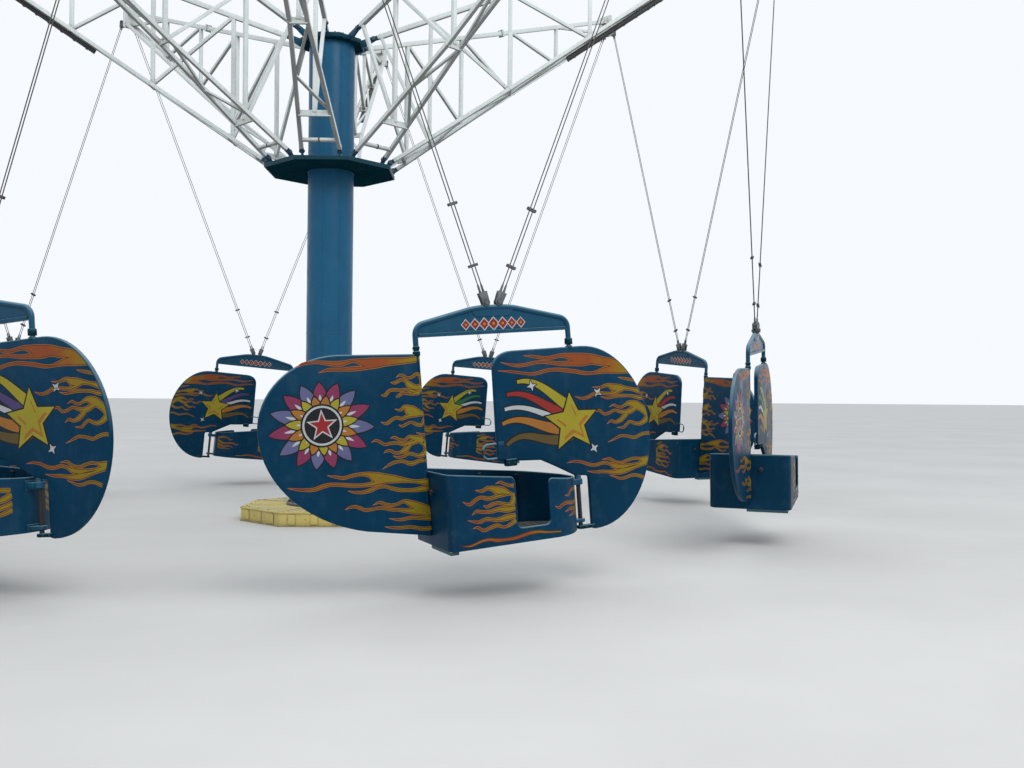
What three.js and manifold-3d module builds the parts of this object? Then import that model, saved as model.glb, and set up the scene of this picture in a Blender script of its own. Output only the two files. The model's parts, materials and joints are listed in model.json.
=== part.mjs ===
// Flying scooter ride: a turning mast with eight lattice arms and eight two-seat cars on cables.
// Millimetres, +Z up. The origin is on the floor, on the mast's axis.
import * as THREE from 'three';
import { mergeVertices } from 'three/addons/utils/BufferGeometryUtils.js';
import Module from 'manifold-3d';

const wasm = await Module();
wasm.setup();

// Driving dimensions of the whole ride.
const CAR_COUNT = 8;
const STEP_ANGLE = (2 * Math.PI) / CAR_COUNT;
const SEAT_GAP = 0.3;
const RUNNING_GAP = 1;

// Base and mast.
const PLATFORM_RADIUS = 1150;
const PLATFORM_HEIGHT = 180;
const BEARING_RADIUS = 430;
const BEARING_HEIGHT = 240;
const BEARING_FOOT_RADIUS = 540;
const BEARING_FOOT_HEIGHT = 30;
const BEARING_RIB_THICKNESS = 16;
const MAST_RADIUS = 305;
const MAST_SIDES = 32;
const MAST_WALL = 20;
const MAST_FLANGE_RADIUS = 450;
const MAST_FLANGE_HEIGHT = 40;
const MAST_TOP = 6350;

// Hub plates, both octagonal with a flat edge towards each arm.
const LOWER_PLATE_CORNER = 895;
const LOWER_PLATE_BOTTOM = 4630;
const LOWER_PLATE_THICKNESS = 50;
const UPPER_PLATE_CORNER = 440;
const UPPER_PLATE_THICKNESS = 60;
const HUB_LUG_THICKNESS = 24;
const HUB_LUG_RADIUS = 40;

// Arm lattice, in the arm's own frame: X outwards, Y sideways, Z up.
const LOWER_ROOT = { x: 870, y: 240, z: 4760 };
const LOWER_SLOPE = 0.67;
const CHORD_KINK = { x: 2410, y: 100 };
const CHORD_END_Y = 75;
const UPPER_ROOT = { x: 560, z: 6470 };
const UPPER_SLOPE = 0.353;
const POST_X = [1330, 2410, 3500, 4610];
const TIP_X = 5960;
const CHORD_WIDTH = 52;
const WEB_RISE = 14;
const RUNG = { length: 70, thickness: 26 };
const UPPER_CHORD_WIDTH = 66;
const POST_WIDTH = 54;
const DIAGONAL_WIDTH = 46;
const ARM_WEB_THICKNESS = 50;
const FIRST_RUNG_X = 980;
const TIP_PLATE = { thickness: 20, width: 270, bottom: 8090, top: 8470 };

// Cable pins: the line that each car swings about runs through two of them.
const PIN_RADIAL = 6050;
const PIN_SIDE = 110;
const PIN_Z = 8200;
const PIN_RADIUS = 10;
const PIN_SIDES = 6;
const PIN_LUG_THICKNESS = 16;
const PIN_LUG_RADIUS = 28;

// Cables.
const ROPE_RADIUS = 6;
const ROPE_SPACING = 30;

// Car, in its own frame: X forwards, Y inboard, Z up, with the origin between the two cable eyes.
const EYE_Z = 2410;
const EYE_SPACING = 120;
const NOSE_UP = THREE.MathUtils.degToRad(4.8);
const CAR_BALANCE = -3;
const TUBE_RADIUS = 23;
const LEG_X = 690;
const HANGER_EAVE_Z = -155;
const HANGER_APEX_Z = -43;
const HANGER_APEX_HALF = 155;
const HANGER_BOTTOM_Z = -262;
const HANGER_BAR_HEIGHT = 30;
const WEB_THICKNESS = 12;
const LEG_FOOT_Z = -345;
const FIN_THICKNESS = 40;
const FIN_FOOT_Z = -1860;

// Tub.
const TUB_HALF_WIDTH = 440;
const TUB_FLOOR_Z = -1944;
const TUB_RIM_REAR_Z = -1343;
const TUB_RIM_SLOPE = 0.1315;
const TUB_WALL = 18;
const TUB_NOSE_X = 600;
const TUB_CORNER = 80;
const DOOR = { rear: -100, front: 205, bottom: -1830, corner: 55 };
const SEAT = { front: -170, top: -1690, backThickness: 70, backTop: -1390 };

// Rudder.
const SHAFT_RADIUS = 19;
const BLADE_THICKNESS = 44;
const BLADE_TOP_Z = -408;
const COLLAR_RADIUS = 34;
const MID_BEARING = { bottom: -1600, top: -1550 };
const LOW_BEARING = { bottom: -1925, top: -1895 };
const SHAFT_FOOT_Z = -1985;
const THRUST_COLLAR_RADIUS = 30;
const BLADE_NOTCH_Z = -1525;
const HANDLE = { root: 20, bend: -110, rear: -172, top: -1180, bottom: -1302, radius: 9 };

// Light bars, under every second arm.
const LIGHT_BAR = { start: 3200, end: 5560, drop: 115, width: 80, height: 90 };

const paint = {
  blue: new THREE.MeshStandardMaterial({ color: 0x14507c, roughness: 0.45, metalness: 0.1 }),
  deepBlue: new THREE.MeshStandardMaterial({ color: 0x12476e, roughness: 0.4, metalness: 0.1 }),
  white: new THREE.MeshStandardMaterial({ color: 0xd9dde0, roughness: 0.5, metalness: 0.1 }),
  yellow: new THREE.MeshStandardMaterial({ color: 0xb59b2c, roughness: 0.6, metalness: 0.1 }),
  black: new THREE.MeshStandardMaterial({ color: 0x1c1d20, roughness: 0.6, metalness: 0.2 }),
  galvanised: new THREE.MeshStandardMaterial({ color: 0x8d9296, roughness: 0.5, metalness: 0.9 }),
  grey: new THREE.MeshStandardMaterial({ color: 0x55606a, roughness: 0.6, metalness: 0.4 }),
};

const point = (x, y, z) => new THREE.Vector3(x, y, z);

// Turns a closed three.js geometry into a solid.
function solid(geometry, matrix = new THREE.Matrix4()) {
  const bare = geometry.clone().applyMatrix4(matrix);
  bare.deleteAttribute('normal');
  bare.deleteAttribute('uv');
  const merged = mergeVertices(bare, 1e-3);
  return new wasm.Manifold(new wasm.Mesh({
    numProp: 3,
    vertProperties: new Float32Array(merged.attributes.position.array),
    triVerts: new Uint32Array(merged.index.array),
  }));
}

function joined(solids) {
  return solids.reduce((whole, next) => whole.add(next));
}

// Makes a named mesh from a solid.
function mesh(name, shape, material) {
  const result = shape.getMesh();
  const geometry = new THREE.BufferGeometry();
  const places = result.vertProperties;
  geometry.setAttribute('position', new THREE.BufferAttribute(new Float32Array(places), 3));
  geometry.setIndex(new THREE.BufferAttribute(new Uint32Array(result.triVerts), 1));
  geometry.computeVertexNormals();
  const made = new THREE.Mesh(geometry, material);
  made.name = name;
  return made;
}

function block(sizeX, sizeY, sizeZ, centre, turn = new THREE.Euler()) {
  const matrix = new THREE.Matrix4().makeRotationFromEuler(turn).setPosition(centre);
  return solid(new THREE.BoxGeometry(sizeX, sizeY, sizeZ), matrix);
}

// A round bar between two points.
function bar(from, to, radius, sides = 8) {
  const along = to.clone().sub(from);
  const length = along.length();
  const turn = new THREE.Quaternion().setFromUnitVectors(point(0, 1, 0), along.normalize());
  const middle = from.clone().add(to).multiplyScalar(0.5);
  const matrix = new THREE.Matrix4().compose(middle, turn, point(1, 1, 1));
  return solid(new THREE.CylinderGeometry(radius, radius, length, sides), matrix);
}

// The radius of a faceted bore whose flats clear a pin that turns in it.
const boreRadius = (pinRadius, sides) => (pinRadius + RUNNING_GAP) / Math.cos(Math.PI / sides);

// A plate drawn in the X-Z plane and centred on a Y value.
function standingPlate(shape, thickness, middleY = 0, curveSegments = 6) {
  const geometry = new THREE.ExtrudeGeometry(shape, {
    depth: thickness, bevelEnabled: false, curveSegments,
  });
  geometry.translate(0, 0, -thickness / 2);
  geometry.rotateX(Math.PI / 2);
  geometry.translate(0, middleY, 0);
  return solid(geometry);
}

// A plate drawn in the X-Y plane that rises from a Z value.
function lyingPlate(shape, thickness, bottomZ, curveSegments = 6) {
  const geometry = new THREE.ExtrudeGeometry(shape, {
    depth: thickness, bevelEnabled: false, curveSegments,
  });
  geometry.translate(0, 0, bottomZ);
  return solid(geometry);
}

// A path straight from corner to corner, with mitred sections at the corners.
class CornerPath extends THREE.Curve {
  constructor(corners) {
    super();
    this.corners = corners;
  }

  getPoint(t) {
    const place = t * (this.corners.length - 1);
    const index = Math.min(Math.floor(place), this.corners.length - 2);
    return this.corners[index].clone().lerp(this.corners[index + 1], place - index);
  }

  getSpacedPoints() {
    return this.corners.map((corner) => corner.clone());
  }

  getTangentAt(u) {
    const index = Math.round(u * (this.corners.length - 1));
    const before = this.corners[Math.max(index - 1, 0)];
    const after = this.corners[Math.min(index + 1, this.corners.length - 1)];
    return after.clone().sub(before).normalize();
  }
}

// A tube of a few sides swept from corner to corner.
function sweptTube(corners, radius, sides) {
  const extrudePath = new CornerPath(corners);
  const section = polygon(radius, sides, Math.PI / sides);
  const steps = corners.length - 1;
  return solid(new THREE.ExtrudeGeometry(section, { steps, bevelEnabled: false, extrudePath }));
}

function polygon(corner, sides, phase) {
  const shape = new THREE.Shape();
  for (let side = 0; side < sides; side += 1) {
    const angle = phase + (2 * Math.PI * side) / sides;
    const x = corner * Math.cos(angle);
    const y = corner * Math.sin(angle);
    if (side === 0) shape.moveTo(x, y);
    else shape.lineTo(x, y);
  }
  shape.closePath();
  return shape;
}

function round(radius, height, bottomZ, sides = MAST_SIDES, x = 0, y = 0) {
  return bar(point(x, y, bottomZ), point(x, y, bottomZ + height), radius, sides);
}

// A U-shaped fork in the X-Z plane: its cheeks stand on both sides of a lug, and the pin is at the origin.
function fork({ gap, cheek, depth, reach, rise, bridge }) {
  const outline = new THREE.Shape();
  const inner = gap / 2;
  const outer = inner + cheek;
  outline.moveTo(-outer, rise);
  outline.lineTo(-outer, -reach - bridge);
  outline.lineTo(outer, -reach - bridge);
  outline.lineTo(outer, rise);
  outline.lineTo(inner, rise);
  outline.lineTo(inner, -reach);
  outline.lineTo(-inner, -reach);
  outline.lineTo(-inner, rise);
  outline.closePath();
  return standingPlate(outline, depth);
}

function aroundZ(angle) {
  return (shape) => shape.rotate([0, 0, THREE.MathUtils.radToDeg(angle)]);
}

// Base: a low octagonal platform and the fixed half of the slewing bearing.
function basePlatform() {
  const plate = lyingPlate(polygon(PLATFORM_RADIUS, CAR_COUNT, STEP_ANGLE / 2), PLATFORM_HEIGHT, 0);
  return mesh('base_platform', plate, paint.yellow);
}

function baseBearing() {
  const foot = round(BEARING_FOOT_RADIUS, BEARING_FOOT_HEIGHT, PLATFORM_HEIGHT + SEAT_GAP);
  const drum = round(BEARING_RADIUS, BEARING_HEIGHT, PLATFORM_HEIGHT + SEAT_GAP);
  const ribs = [];
  for (let k = 0; k < CAR_COUNT; k += 1) {
    const outline = new THREE.Shape();
    const bottom = PLATFORM_HEIGHT + SEAT_GAP + BEARING_FOOT_HEIGHT / 2;
    outline.moveTo(BEARING_RADIUS - 20, bottom);
    outline.lineTo(BEARING_FOOT_RADIUS - 15, bottom);
    outline.lineTo(BEARING_RADIUS - 20, bottom + BEARING_HEIGHT - 40);
    outline.closePath();
    ribs.push(aroundZ((k + 0.5) * STEP_ANGLE)(standingPlate(outline, BEARING_RIB_THICKNESS)));
  }
  return mesh('base_bearing', joined([foot, drum, ...ribs]), paint.grey);
}

// Mast: a round tube on a flange that turns on the bearing.
function mast() {
  const bottom = PLATFORM_HEIGHT + BEARING_HEIGHT + 2 * SEAT_GAP;
  const flange = round(MAST_FLANGE_RADIUS, MAST_FLANGE_HEIGHT, bottom);
  const tube = round(MAST_RADIUS, MAST_TOP - bottom, bottom);
  const hollow = round(MAST_RADIUS - MAST_WALL, MAST_TOP, bottom - MAST_FLANGE_HEIGHT);
  return mesh('mast', joined([flange, tube]).subtract(hollow), paint.blue);
}

const LOWER_LUG_X = LOWER_ROOT.x - 45;
const lowerZ = (x) => LOWER_ROOT.z + LOWER_SLOPE * (x - LOWER_ROOT.x);
const upperZ = (x) => UPPER_ROOT.z + UPPER_SLOPE * (x - UPPER_ROOT.x);

// An upright lug with a round head, drawn in the X-Z plane.
function pinLug(x, y, z, footZ) {
  const head = new THREE.Shape();
  head.moveTo(x - HUB_LUG_RADIUS - 40, footZ);
  head.lineTo(x - 5, footZ);
  head.lineTo(x + HUB_LUG_RADIUS, z);
  head.absarc(x, z, HUB_LUG_RADIUS, 0, Math.PI, false);
  head.closePath();
  return standingPlate(head, HUB_LUG_THICKNESS, y, 2);
}

function lowerHub() {
  let plate = lyingPlate(
    polygon(LOWER_PLATE_CORNER, CAR_COUNT, STEP_ANGLE / 2), LOWER_PLATE_THICKNESS, LOWER_PLATE_BOTTOM,
  );
  plate = plate.subtract(round(MAST_RADIUS + SEAT_GAP, 200, LOWER_PLATE_BOTTOM - 50));
  const footZ = LOWER_PLATE_BOTTOM + LOWER_PLATE_THICKNESS - 5;
  const lugs = [];
  for (let k = 0; k < CAR_COUNT; k += 1) {
    for (const side of [-1, 1]) {
      const lug = pinLug(LOWER_LUG_X, side * LOWER_ROOT.y, lowerZ(LOWER_LUG_X), footZ);
      lugs.push(aroundZ(k * STEP_ANGLE)(lug));
    }
  }
  return mesh('hub_lower', joined([plate, ...lugs]), paint.blue);
}

function upperHub() {
  const bottom = MAST_TOP + SEAT_GAP;
  const plate = lyingPlate(
    polygon(UPPER_PLATE_CORNER, CAR_COUNT, STEP_ANGLE / 2), UPPER_PLATE_THICKNESS, bottom,
  );
  const lugs = [];
  for (let k = 0; k < CAR_COUNT; k += 1) {
    const outline = new THREE.Shape();
    outline.moveTo(UPPER_PLATE_CORNER * 0.8, bottom);
    outline.lineTo(UPPER_ROOT.x - 30, bottom);
    outline.lineTo(UPPER_ROOT.x + 40, UPPER_ROOT.z - 20);
    outline.absarc(UPPER_ROOT.x, UPPER_ROOT.z, HUB_LUG_RADIUS, -0.4, Math.PI * 0.75, false);
    outline.lineTo(UPPER_PLATE_CORNER * 0.8, bottom + UPPER_PLATE_THICKNESS);
    outline.closePath();
    lugs.push(aroundZ(k * STEP_ANGLE)(standingPlate(outline, HUB_LUG_THICKNESS, 0, 2)));
  }
  return mesh('hub_upper', joined([plate, ...lugs]), paint.blue);
}

// Arm lattice: two lower chords, one upper chord, posts, diagonals and rungs.
function chordY(x) {
  if (x < CHORD_KINK.x) {
    const part = (x - LOWER_ROOT.x) / (CHORD_KINK.x - LOWER_ROOT.x);
    return THREE.MathUtils.lerp(LOWER_ROOT.y, CHORD_KINK.y, part);
  }
  const part = (x - CHORD_KINK.x) / (TIP_X - CHORD_KINK.x);
  return THREE.MathUtils.lerp(CHORD_KINK.y, CHORD_END_Y, part);
}

// The fork that holds a chord's root on a hub lug.
function rootFork(x, y, z, slope) {
  const shape = fork({
    gap: HUB_LUG_THICKNESS + 2 * SEAT_GAP, cheek: 12, depth: 50, reach: 55, rise: 30, bridge: 30,
  });
  return shape
    .rotate([0, 0, 90])
    .rotate([0, -90, 0])
    .rotate([0, -THREE.MathUtils.radToDeg(Math.atan(slope)), 0])
    .translate([x, y, z]);
}

function lowerChord(side) {
  const start = point(LOWER_ROOT.x, side * LOWER_ROOT.y, lowerZ(LOWER_ROOT.x));
  const kink = point(CHORD_KINK.x, side * CHORD_KINK.y, lowerZ(CHORD_KINK.x));
  const end = point(TIP_X, side * CHORD_END_Y, lowerZ(TIP_X));
  return [
    sweptTube([start, kink, end], CHORD_WIDTH / Math.SQRT2, 4),
    rootFork(LOWER_LUG_X, side * LOWER_ROOT.y, lowerZ(LOWER_LUG_X), LOWER_SLOPE),
  ];
}

// A straight bar of the arm's middle plane, as a flat strip between two of its joints.
function strip(from, to, width) {
  const along = to.clone().sub(from).normalize();
  const across = new THREE.Vector2(-along.y, along.x).multiplyScalar(width / 2);
  const corners = [
    from.clone().sub(across), to.clone().sub(across), to.clone().add(across), from.clone().add(across),
  ];
  return standingPlate(new THREE.Shape(corners), ARM_WEB_THICKNESS);
}

// The arm's middle plane: the upper chord, the posts and the diagonals.
function middleWeb() {
  const upper = (x) => new THREE.Vector2(x, upperZ(x));
  const lower = (x) => new THREE.Vector2(x, lowerZ(x) + WEB_RISE);
  const strips = [
    strip(upper(UPPER_ROOT.x + 70), upper(TIP_X), UPPER_CHORD_WIDTH),
    strip(upper(UPPER_ROOT.x + 95), lower(POST_X[0]), DIAGONAL_WIDTH),
  ];
  POST_X.forEach((x, index) => {
    const next = index + 1 < POST_X.length ? POST_X[index + 1] : TIP_X;
    strips.push(strip(lower(x), upper(x), POST_WIDTH));
    strips.push(strip(upper(x), lower(next), DIAGONAL_WIDTH));
  });
  return [...strips, rootFork(UPPER_ROOT.x, 0, UPPER_ROOT.z, UPPER_SLOPE)];
}

// The arm's lower plane: flat rungs between the two chords.
function lowerWeb() {
  const lean = new THREE.Euler(0, -Math.atan(LOWER_SLOPE), 0);
  return [FIRST_RUNG_X, ...POST_X].map((x) => (
    block(RUNG.length, 2 * chordY(x), RUNG.thickness, point(x, 0, lowerZ(x)), lean)
  ));
}

// The lug that one cable swings from, standing out of the tip plate along the car's radius.
function tipLug(side) {
  const turn = (side * STEP_ANGLE) / 2;
  const length = (PIN_RADIAL - TIP_X) / Math.cos(turn);
  const outline = new THREE.Shape();
  outline.moveTo(-length, -PIN_LUG_RADIUS);
  outline.lineTo(0, -PIN_LUG_RADIUS);
  outline.absarc(0, 0, PIN_LUG_RADIUS, -Math.PI / 2, Math.PI / 2, false);
  outline.lineTo(-length, PIN_LUG_RADIUS);
  outline.closePath();
  const hole = bar(point(0, -30, 0), point(0, 30, 0), boreRadius(PIN_RADIUS, PIN_SIDES), PIN_SIDES);
  return standingPlate(outline, PIN_LUG_THICKNESS, 0, 2)
    .subtract(hole)
    .rotate([0, 0, THREE.MathUtils.radToDeg(turn)])
    .translate([PIN_RADIAL, side * PIN_SIDE, PIN_Z]);
}

function tipPlate() {
  const { thickness, width, bottom, top } = TIP_PLATE;
  return block(thickness, width, top - bottom, point(TIP_X, 0, (top + bottom) / 2));
}

function arm(index) {
  const parts = [
    ...lowerChord(-1), ...lowerChord(1), ...middleWeb(), ...lowerWeb(), tipPlate(), tipLug(-1), tipLug(1),
  ];
  return mesh(`arm_${index + 1}`, aroundZ(index * STEP_ANGLE)(joined(parts)), paint.white);
}

function lightBar(index) {
  const slope = Math.atan(LOWER_SLOPE);
  const { start, end, drop, width, height } = LIGHT_BAR;
  const middleX = (start + end) / 2;
  const length = (end - start) / Math.cos(slope);
  const turn = new THREE.Euler(0, -slope, 0);
  const parts = [block(length, width, height, point(middleX, 0, lowerZ(middleX) - drop), turn)];
  for (const x of POST_X.slice(2)) {
    const reach = drop * Math.cos(slope) - RUNG.thickness / 2 - SEAT_GAP;
    const away = point(Math.sin(slope), 0, -Math.cos(slope));
    const top = point(x, 0, lowerZ(x)).addScaledVector(away, RUNG.thickness / 2 + SEAT_GAP);
    parts.push(block(50, 20, reach, top.addScaledVector(away, reach / 2), turn));
  }
  return mesh(`light_bar_${index + 1}`, aroundZ(2 * index * STEP_ANGLE)(joined(parts)), paint.black);
}

// Car pieces. CAR_RADIUS is where the swing line of a car lies.
const HALF = STEP_ANGLE / 2;
const CAR_RADIUS = PIN_RADIAL * Math.cos(HALF) + PIN_SIDE * Math.sin(HALF);
const PIN_HALF_SPAN = PIN_RADIAL * Math.sin(HALF) - PIN_SIDE * Math.cos(HALF);
const EYE_DROP = PIN_Z - EYE_Z;

// One cable leg: a fork on the arm's pin, two ropes, and a fork on the hanger's eye.
function cableLeg(name, direction) {
  const forkSize = {
    gap: PIN_LUG_THICKNESS + 2 * RUNNING_GAP, cheek: 12, depth: 46, reach: 38, rise: 12, bridge: 22,
  };
  const halfPin = forkSize.gap / 2 + forkSize.cheek + 10;
  const upperPin = point(direction * PIN_HALF_SPAN, 0, 0);
  const lowerPin = point(
    direction * (EYE_SPACING / 2) * Math.cos(NOSE_UP), CAR_BALANCE,
    -EYE_DROP + direction * (EYE_SPACING / 2) * Math.sin(NOSE_UP),
  );
  const forkEnd = forkSize.reach + forkSize.bridge / 2;
  const ropeTop = upperPin.clone().add(point(0, 0, -forkEnd));
  const along = lowerPin.clone().sub(ropeTop).normalize();
  const lean = THREE.MathUtils.radToDeg(Math.atan2(along.x, -along.z));
  const ropeFoot = lowerPin.clone().addScaledVector(along, -forkEnd);
  const pin = bar(point(-halfPin, 0, 0), point(halfPin, 0, 0), PIN_RADIUS, PIN_SIDES);
  const shackle = fork(forkSize).add(pin);
  const parts = [
    shackle.translate(upperPin.toArray()),
    shackle.rotate([0, 180, 90]).rotate([0, -lean, 0]).translate(lowerPin.toArray()),
  ];
  const across = point(along.z, 0, -along.x).multiplyScalar(ROPE_SPACING / 2);
  for (const side of [-1, 1]) {
    const shift = across.clone().multiplyScalar(side);
    parts.push(bar(ropeTop.clone().add(shift), ropeFoot.clone().add(shift), ROPE_RADIUS, 4));
  }
  return mesh(name, joined(parts), paint.galvanised);
}

function hangerParts() {
  const half = [
    point(LEG_X, 0, LEG_FOOT_Z), point(LEG_X, 0, -225), point(LEG_X - 12, 0, -180),
    point(LEG_X - 50, 0, HANGER_EAVE_Z), point(HANGER_APEX_HALF + 12, 0, HANGER_APEX_Z - 3),
    point(HANGER_APEX_HALF - 25, 0, HANGER_APEX_Z),
  ];
  const path = [...half, ...half.map((p) => point(-p.x, p.y, p.z)).reverse()];
  const web = new THREE.Shape();
  web.moveTo(-LEG_X, HANGER_BOTTOM_Z + 4);
  web.lineTo(LEG_X, HANGER_BOTTOM_Z + 4);
  web.lineTo(LEG_X, -200);
  web.lineTo(LEG_X - 42, HANGER_EAVE_Z);
  web.lineTo(HANGER_APEX_HALF, HANGER_APEX_Z);
  web.lineTo(-HANGER_APEX_HALF, HANGER_APEX_Z);
  web.lineTo(-LEG_X + 42, HANGER_EAVE_Z);
  web.lineTo(-LEG_X, -200);
  web.closePath();
  const eyes = [-1, 1].map((side) => {
    const x = (side * EYE_SPACING) / 2;
    const outline = new THREE.Shape();
    outline.moveTo(x - 32, HANGER_APEX_Z);
    outline.lineTo(x + 32, HANGER_APEX_Z);
    outline.absarc(x, 0, 24, 0, Math.PI, false);
    outline.closePath();
    const hole = bar(point(x, -30, 0), point(x, 30, 0), boreRadius(PIN_RADIUS, PIN_SIDES), PIN_SIDES);
    return standingPlate(outline, PIN_LUG_THICKNESS, 0, 2).subtract(hole);
  });
  const barMiddle = point(0, 0, HANGER_BOTTOM_Z + HANGER_BAR_HEIGHT / 2);
  return [
    sweptTube(path, TUBE_RADIUS, 6),
    standingPlate(web, WEB_THICKNESS),
    block(2 * LEG_X, 40, HANGER_BAR_HEIGHT, barMiddle),
    ...eyes,
  ];
}

// Top bearing of the rudder, at the foot of the hanger's front leg.
function topBearing() {
  const cup = round(COLLAR_RADIUS, 55, LEG_FOOT_Z - 45, 8, LEG_X);
  const bore = round(boreRadius(SHAFT_RADIUS, 8), 60, LEG_FOOT_Z - 80, 8, LEG_X);
  return cup.subtract(bore);
}

function finOutline() {
  const fin = new THREE.Shape();
  fin.moveTo(-LEG_X, FIN_FOOT_Z);
  fin.lineTo(-LEG_X, -392);
  fin.lineTo(-1350, -362);
  fin.bezierCurveTo(-1720, -362, -1990, -620, -1990, -920);
  fin.bezierCurveTo(-1990, -1350, -1620, -1660, -1200, -1762);
  fin.closePath();
  return fin;
}

function carFrame(name) {
  const rearPost = bar(point(-LEG_X, 0, FIN_FOOT_Z), point(-LEG_X, 0, LEG_FOOT_Z + 20), TUBE_RADIUS, 8);
  const fin = standingPlate(finOutline(), FIN_THICKNESS, 0, 6);
  return mesh(name, joined([...hangerParts(), topBearing(), rearPost, fin]), paint.deepBlue);
}

// The tub's outline seen from above, inset by a wall thickness.
function tubPlan(inset) {
  const rear = -LEG_X + TUBE_RADIUS + SEAT_GAP + inset;
  const half = TUB_HALF_WIDTH - inset;
  const corner = TUB_CORNER - inset;
  const nose = TUB_NOSE_X - inset;
  const noseHalf = 90 - inset / 2;
  const plan = new THREE.Shape();
  plan.moveTo(rear, -half + corner);
  plan.quadraticCurveTo(rear, -half, rear + corner, -half);
  plan.lineTo(240, -half);
  plan.bezierCurveTo(400, -half, 520 - inset, -300, nose, -noseHalf);
  plan.lineTo(nose, noseHalf);
  plan.bezierCurveTo(520 - inset, 300, 400, half, 240, half);
  plan.lineTo(rear + corner, half);
  plan.quadraticCurveTo(rear, half, rear, half - corner);
  plan.closePath();
  return plan;
}

const rimZ = (x) => TUB_RIM_REAR_Z - TUB_RIM_SLOPE * (x + LEG_X);

function doorOutline() {
  const { rear, front, bottom, corner } = DOOR;
  const top = rimZ(rear) + 60;
  const outline = new THREE.Shape();
  outline.moveTo(rear, bottom + corner);
  outline.quadraticCurveTo(rear, bottom, rear + corner, bottom);
  outline.lineTo(front - corner, bottom);
  outline.quadraticCurveTo(front, bottom, front, bottom + corner);
  outline.lineTo(front, rimZ(front) - corner);
  outline.quadraticCurveTo(front, rimZ(front), front + corner, rimZ(front) + 5);
  outline.lineTo(front + corner, top);
  outline.lineTo(rear - corner, top);
  outline.lineTo(rear - corner, rimZ(rear) + 5);
  outline.quadraticCurveTo(rear, rimZ(rear), rear, rimZ(rear) - corner);
  outline.closePath();
  return outline;
}

function noseBracket(range) {
  const thickness = range.top - range.bottom;
  const plate = block(LEG_X - TUB_NOSE_X + 30, 70, thickness, point(
    (LEG_X + TUB_NOSE_X - 30) / 2, 0, (range.top + range.bottom) / 2,
  ));
  const ring = round(COLLAR_RADIUS + 6, thickness, range.bottom, 8, LEG_X);
  return plate.add(ring).subtract(round(boreRadius(SHAFT_RADIUS, 8), 200, range.bottom - 60, 8, LEG_X));
}

function tub(name) {
  const height = TUB_RIM_REAR_Z - TUB_FLOOR_Z;
  const shell = lyingPlate(tubPlan(0), height + 20, TUB_FLOOR_Z, 3)
    .subtract(lyingPlate(tubPlan(TUB_WALL), height + 40, TUB_FLOOR_Z + TUB_WALL, 3));
  const benchRear = -LEG_X + TUBE_RADIUS + SEAT_GAP + TUB_WALL / 2;
  const benchHalf = TUB_HALF_WIDTH - TUB_WALL / 2;
  const bench = block(
    SEAT.front - benchRear, 2 * benchHalf, SEAT.top - TUB_FLOOR_Z - 5,
    point((SEAT.front + benchRear) / 2, 0, (SEAT.top + TUB_FLOOR_Z + 5) / 2),
  );
  const back = new THREE.Shape();
  back.moveTo(benchRear, SEAT.top - 5);
  back.lineTo(benchRear + SEAT.backThickness + 60, SEAT.top - 5);
  back.lineTo(benchRear + SEAT.backThickness, SEAT.backTop);
  back.lineTo(benchRear, SEAT.backTop);
  back.closePath();
  const inside = lyingPlate(tubPlan(TUB_WALL / 2), height + 20, TUB_FLOOR_Z + 5, 3);
  const seat = bench.add(standingPlate(back, 2 * benchHalf)).intersect(inside);
  const aboveRim = block(4000, 1200, 600, point(0, 0, 0))
    .translate([0, 0, 300])
    .rotate([0, THREE.MathUtils.radToDeg(Math.atan(TUB_RIM_SLOPE)), 0])
    .translate([-LEG_X, 0, TUB_RIM_REAR_Z]);
  const door = standingPlate(doorOutline(), 120, -TUB_HALF_WIDTH, 3);
  const body = shell.add(seat).subtract(aboveRim).subtract(door);
  return mesh(name, joined([body, noseBracket(MID_BEARING), noseBracket(LOW_BEARING)]), paint.deepBlue);
}

// Rudder blade: a tall front sail with a lower lobe and a rear part above the riders' knees.
function bladeOutline() {
  const lobeRear = LEG_X + 100;
  const blade = new THREE.Shape();
  blade.moveTo(-50, -1310);
  blade.lineTo(-42, -560);
  blade.bezierCurveTo(-38, -470, 30, -415, 140, BLADE_TOP_Z - 4);
  blade.lineTo(800, BLADE_TOP_Z);
  blade.bezierCurveTo(1150, BLADE_TOP_Z, 1438, -800, 1438, -1200);
  blade.bezierCurveTo(1438, -1600, 1200, -2000, lobeRear + 40, -2000);
  blade.lineTo(lobeRear, -1990);
  blade.lineTo(lobeRear, -1560);
  blade.quadraticCurveTo(lobeRear, -1530, lobeRear - 30, -1530);
  blade.lineTo(660, -1518);
  blade.lineTo(489, -1424);
  blade.lineTo(350, -1354);
  blade.lineTo(100, -1336);
  blade.closePath();
  return blade;
}

function handle() {
  const { root, bend, rear, top, bottom } = HANDLE;
  const path = [
    point(root, 0, top), point(bend, 0, top), point(rear + 18, 0, top - 18),
    point(rear, 0, (top + bottom) / 2),
    point(rear + 18, 0, bottom + 18), point(bend, 0, bottom), point(root, 0, bottom),
  ];
  return sweptTube(path, HANDLE.radius, 5);
}

function rudder(name) {
  const shaftTop = LEG_FOOT_Z - 30;
  const seatZ = MID_BEARING.top + SEAT_GAP;
  const parts = [
    standingPlate(bladeOutline(), BLADE_THICKNESS, 0, 6),
    round(SHAFT_RADIUS, shaftTop - BLADE_TOP_Z + 30, BLADE_TOP_Z - 30, 8, LEG_X),
    round(SHAFT_RADIUS, -1500 - SHAFT_FOOT_Z, SHAFT_FOOT_Z, 8, LEG_X),
    round(THRUST_COLLAR_RADIUS, BLADE_NOTCH_Z - seatZ, seatZ, 8, LEG_X),
    block(150, 60, 30, point(LEG_X + 50, 0, SHAFT_FOOT_Z + 15)),
    block(95, 60, 60, point(70, 0, -1345)),
    handle(),
  ];
  return mesh(name, joined(parts), paint.deepBlue);
}

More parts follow.
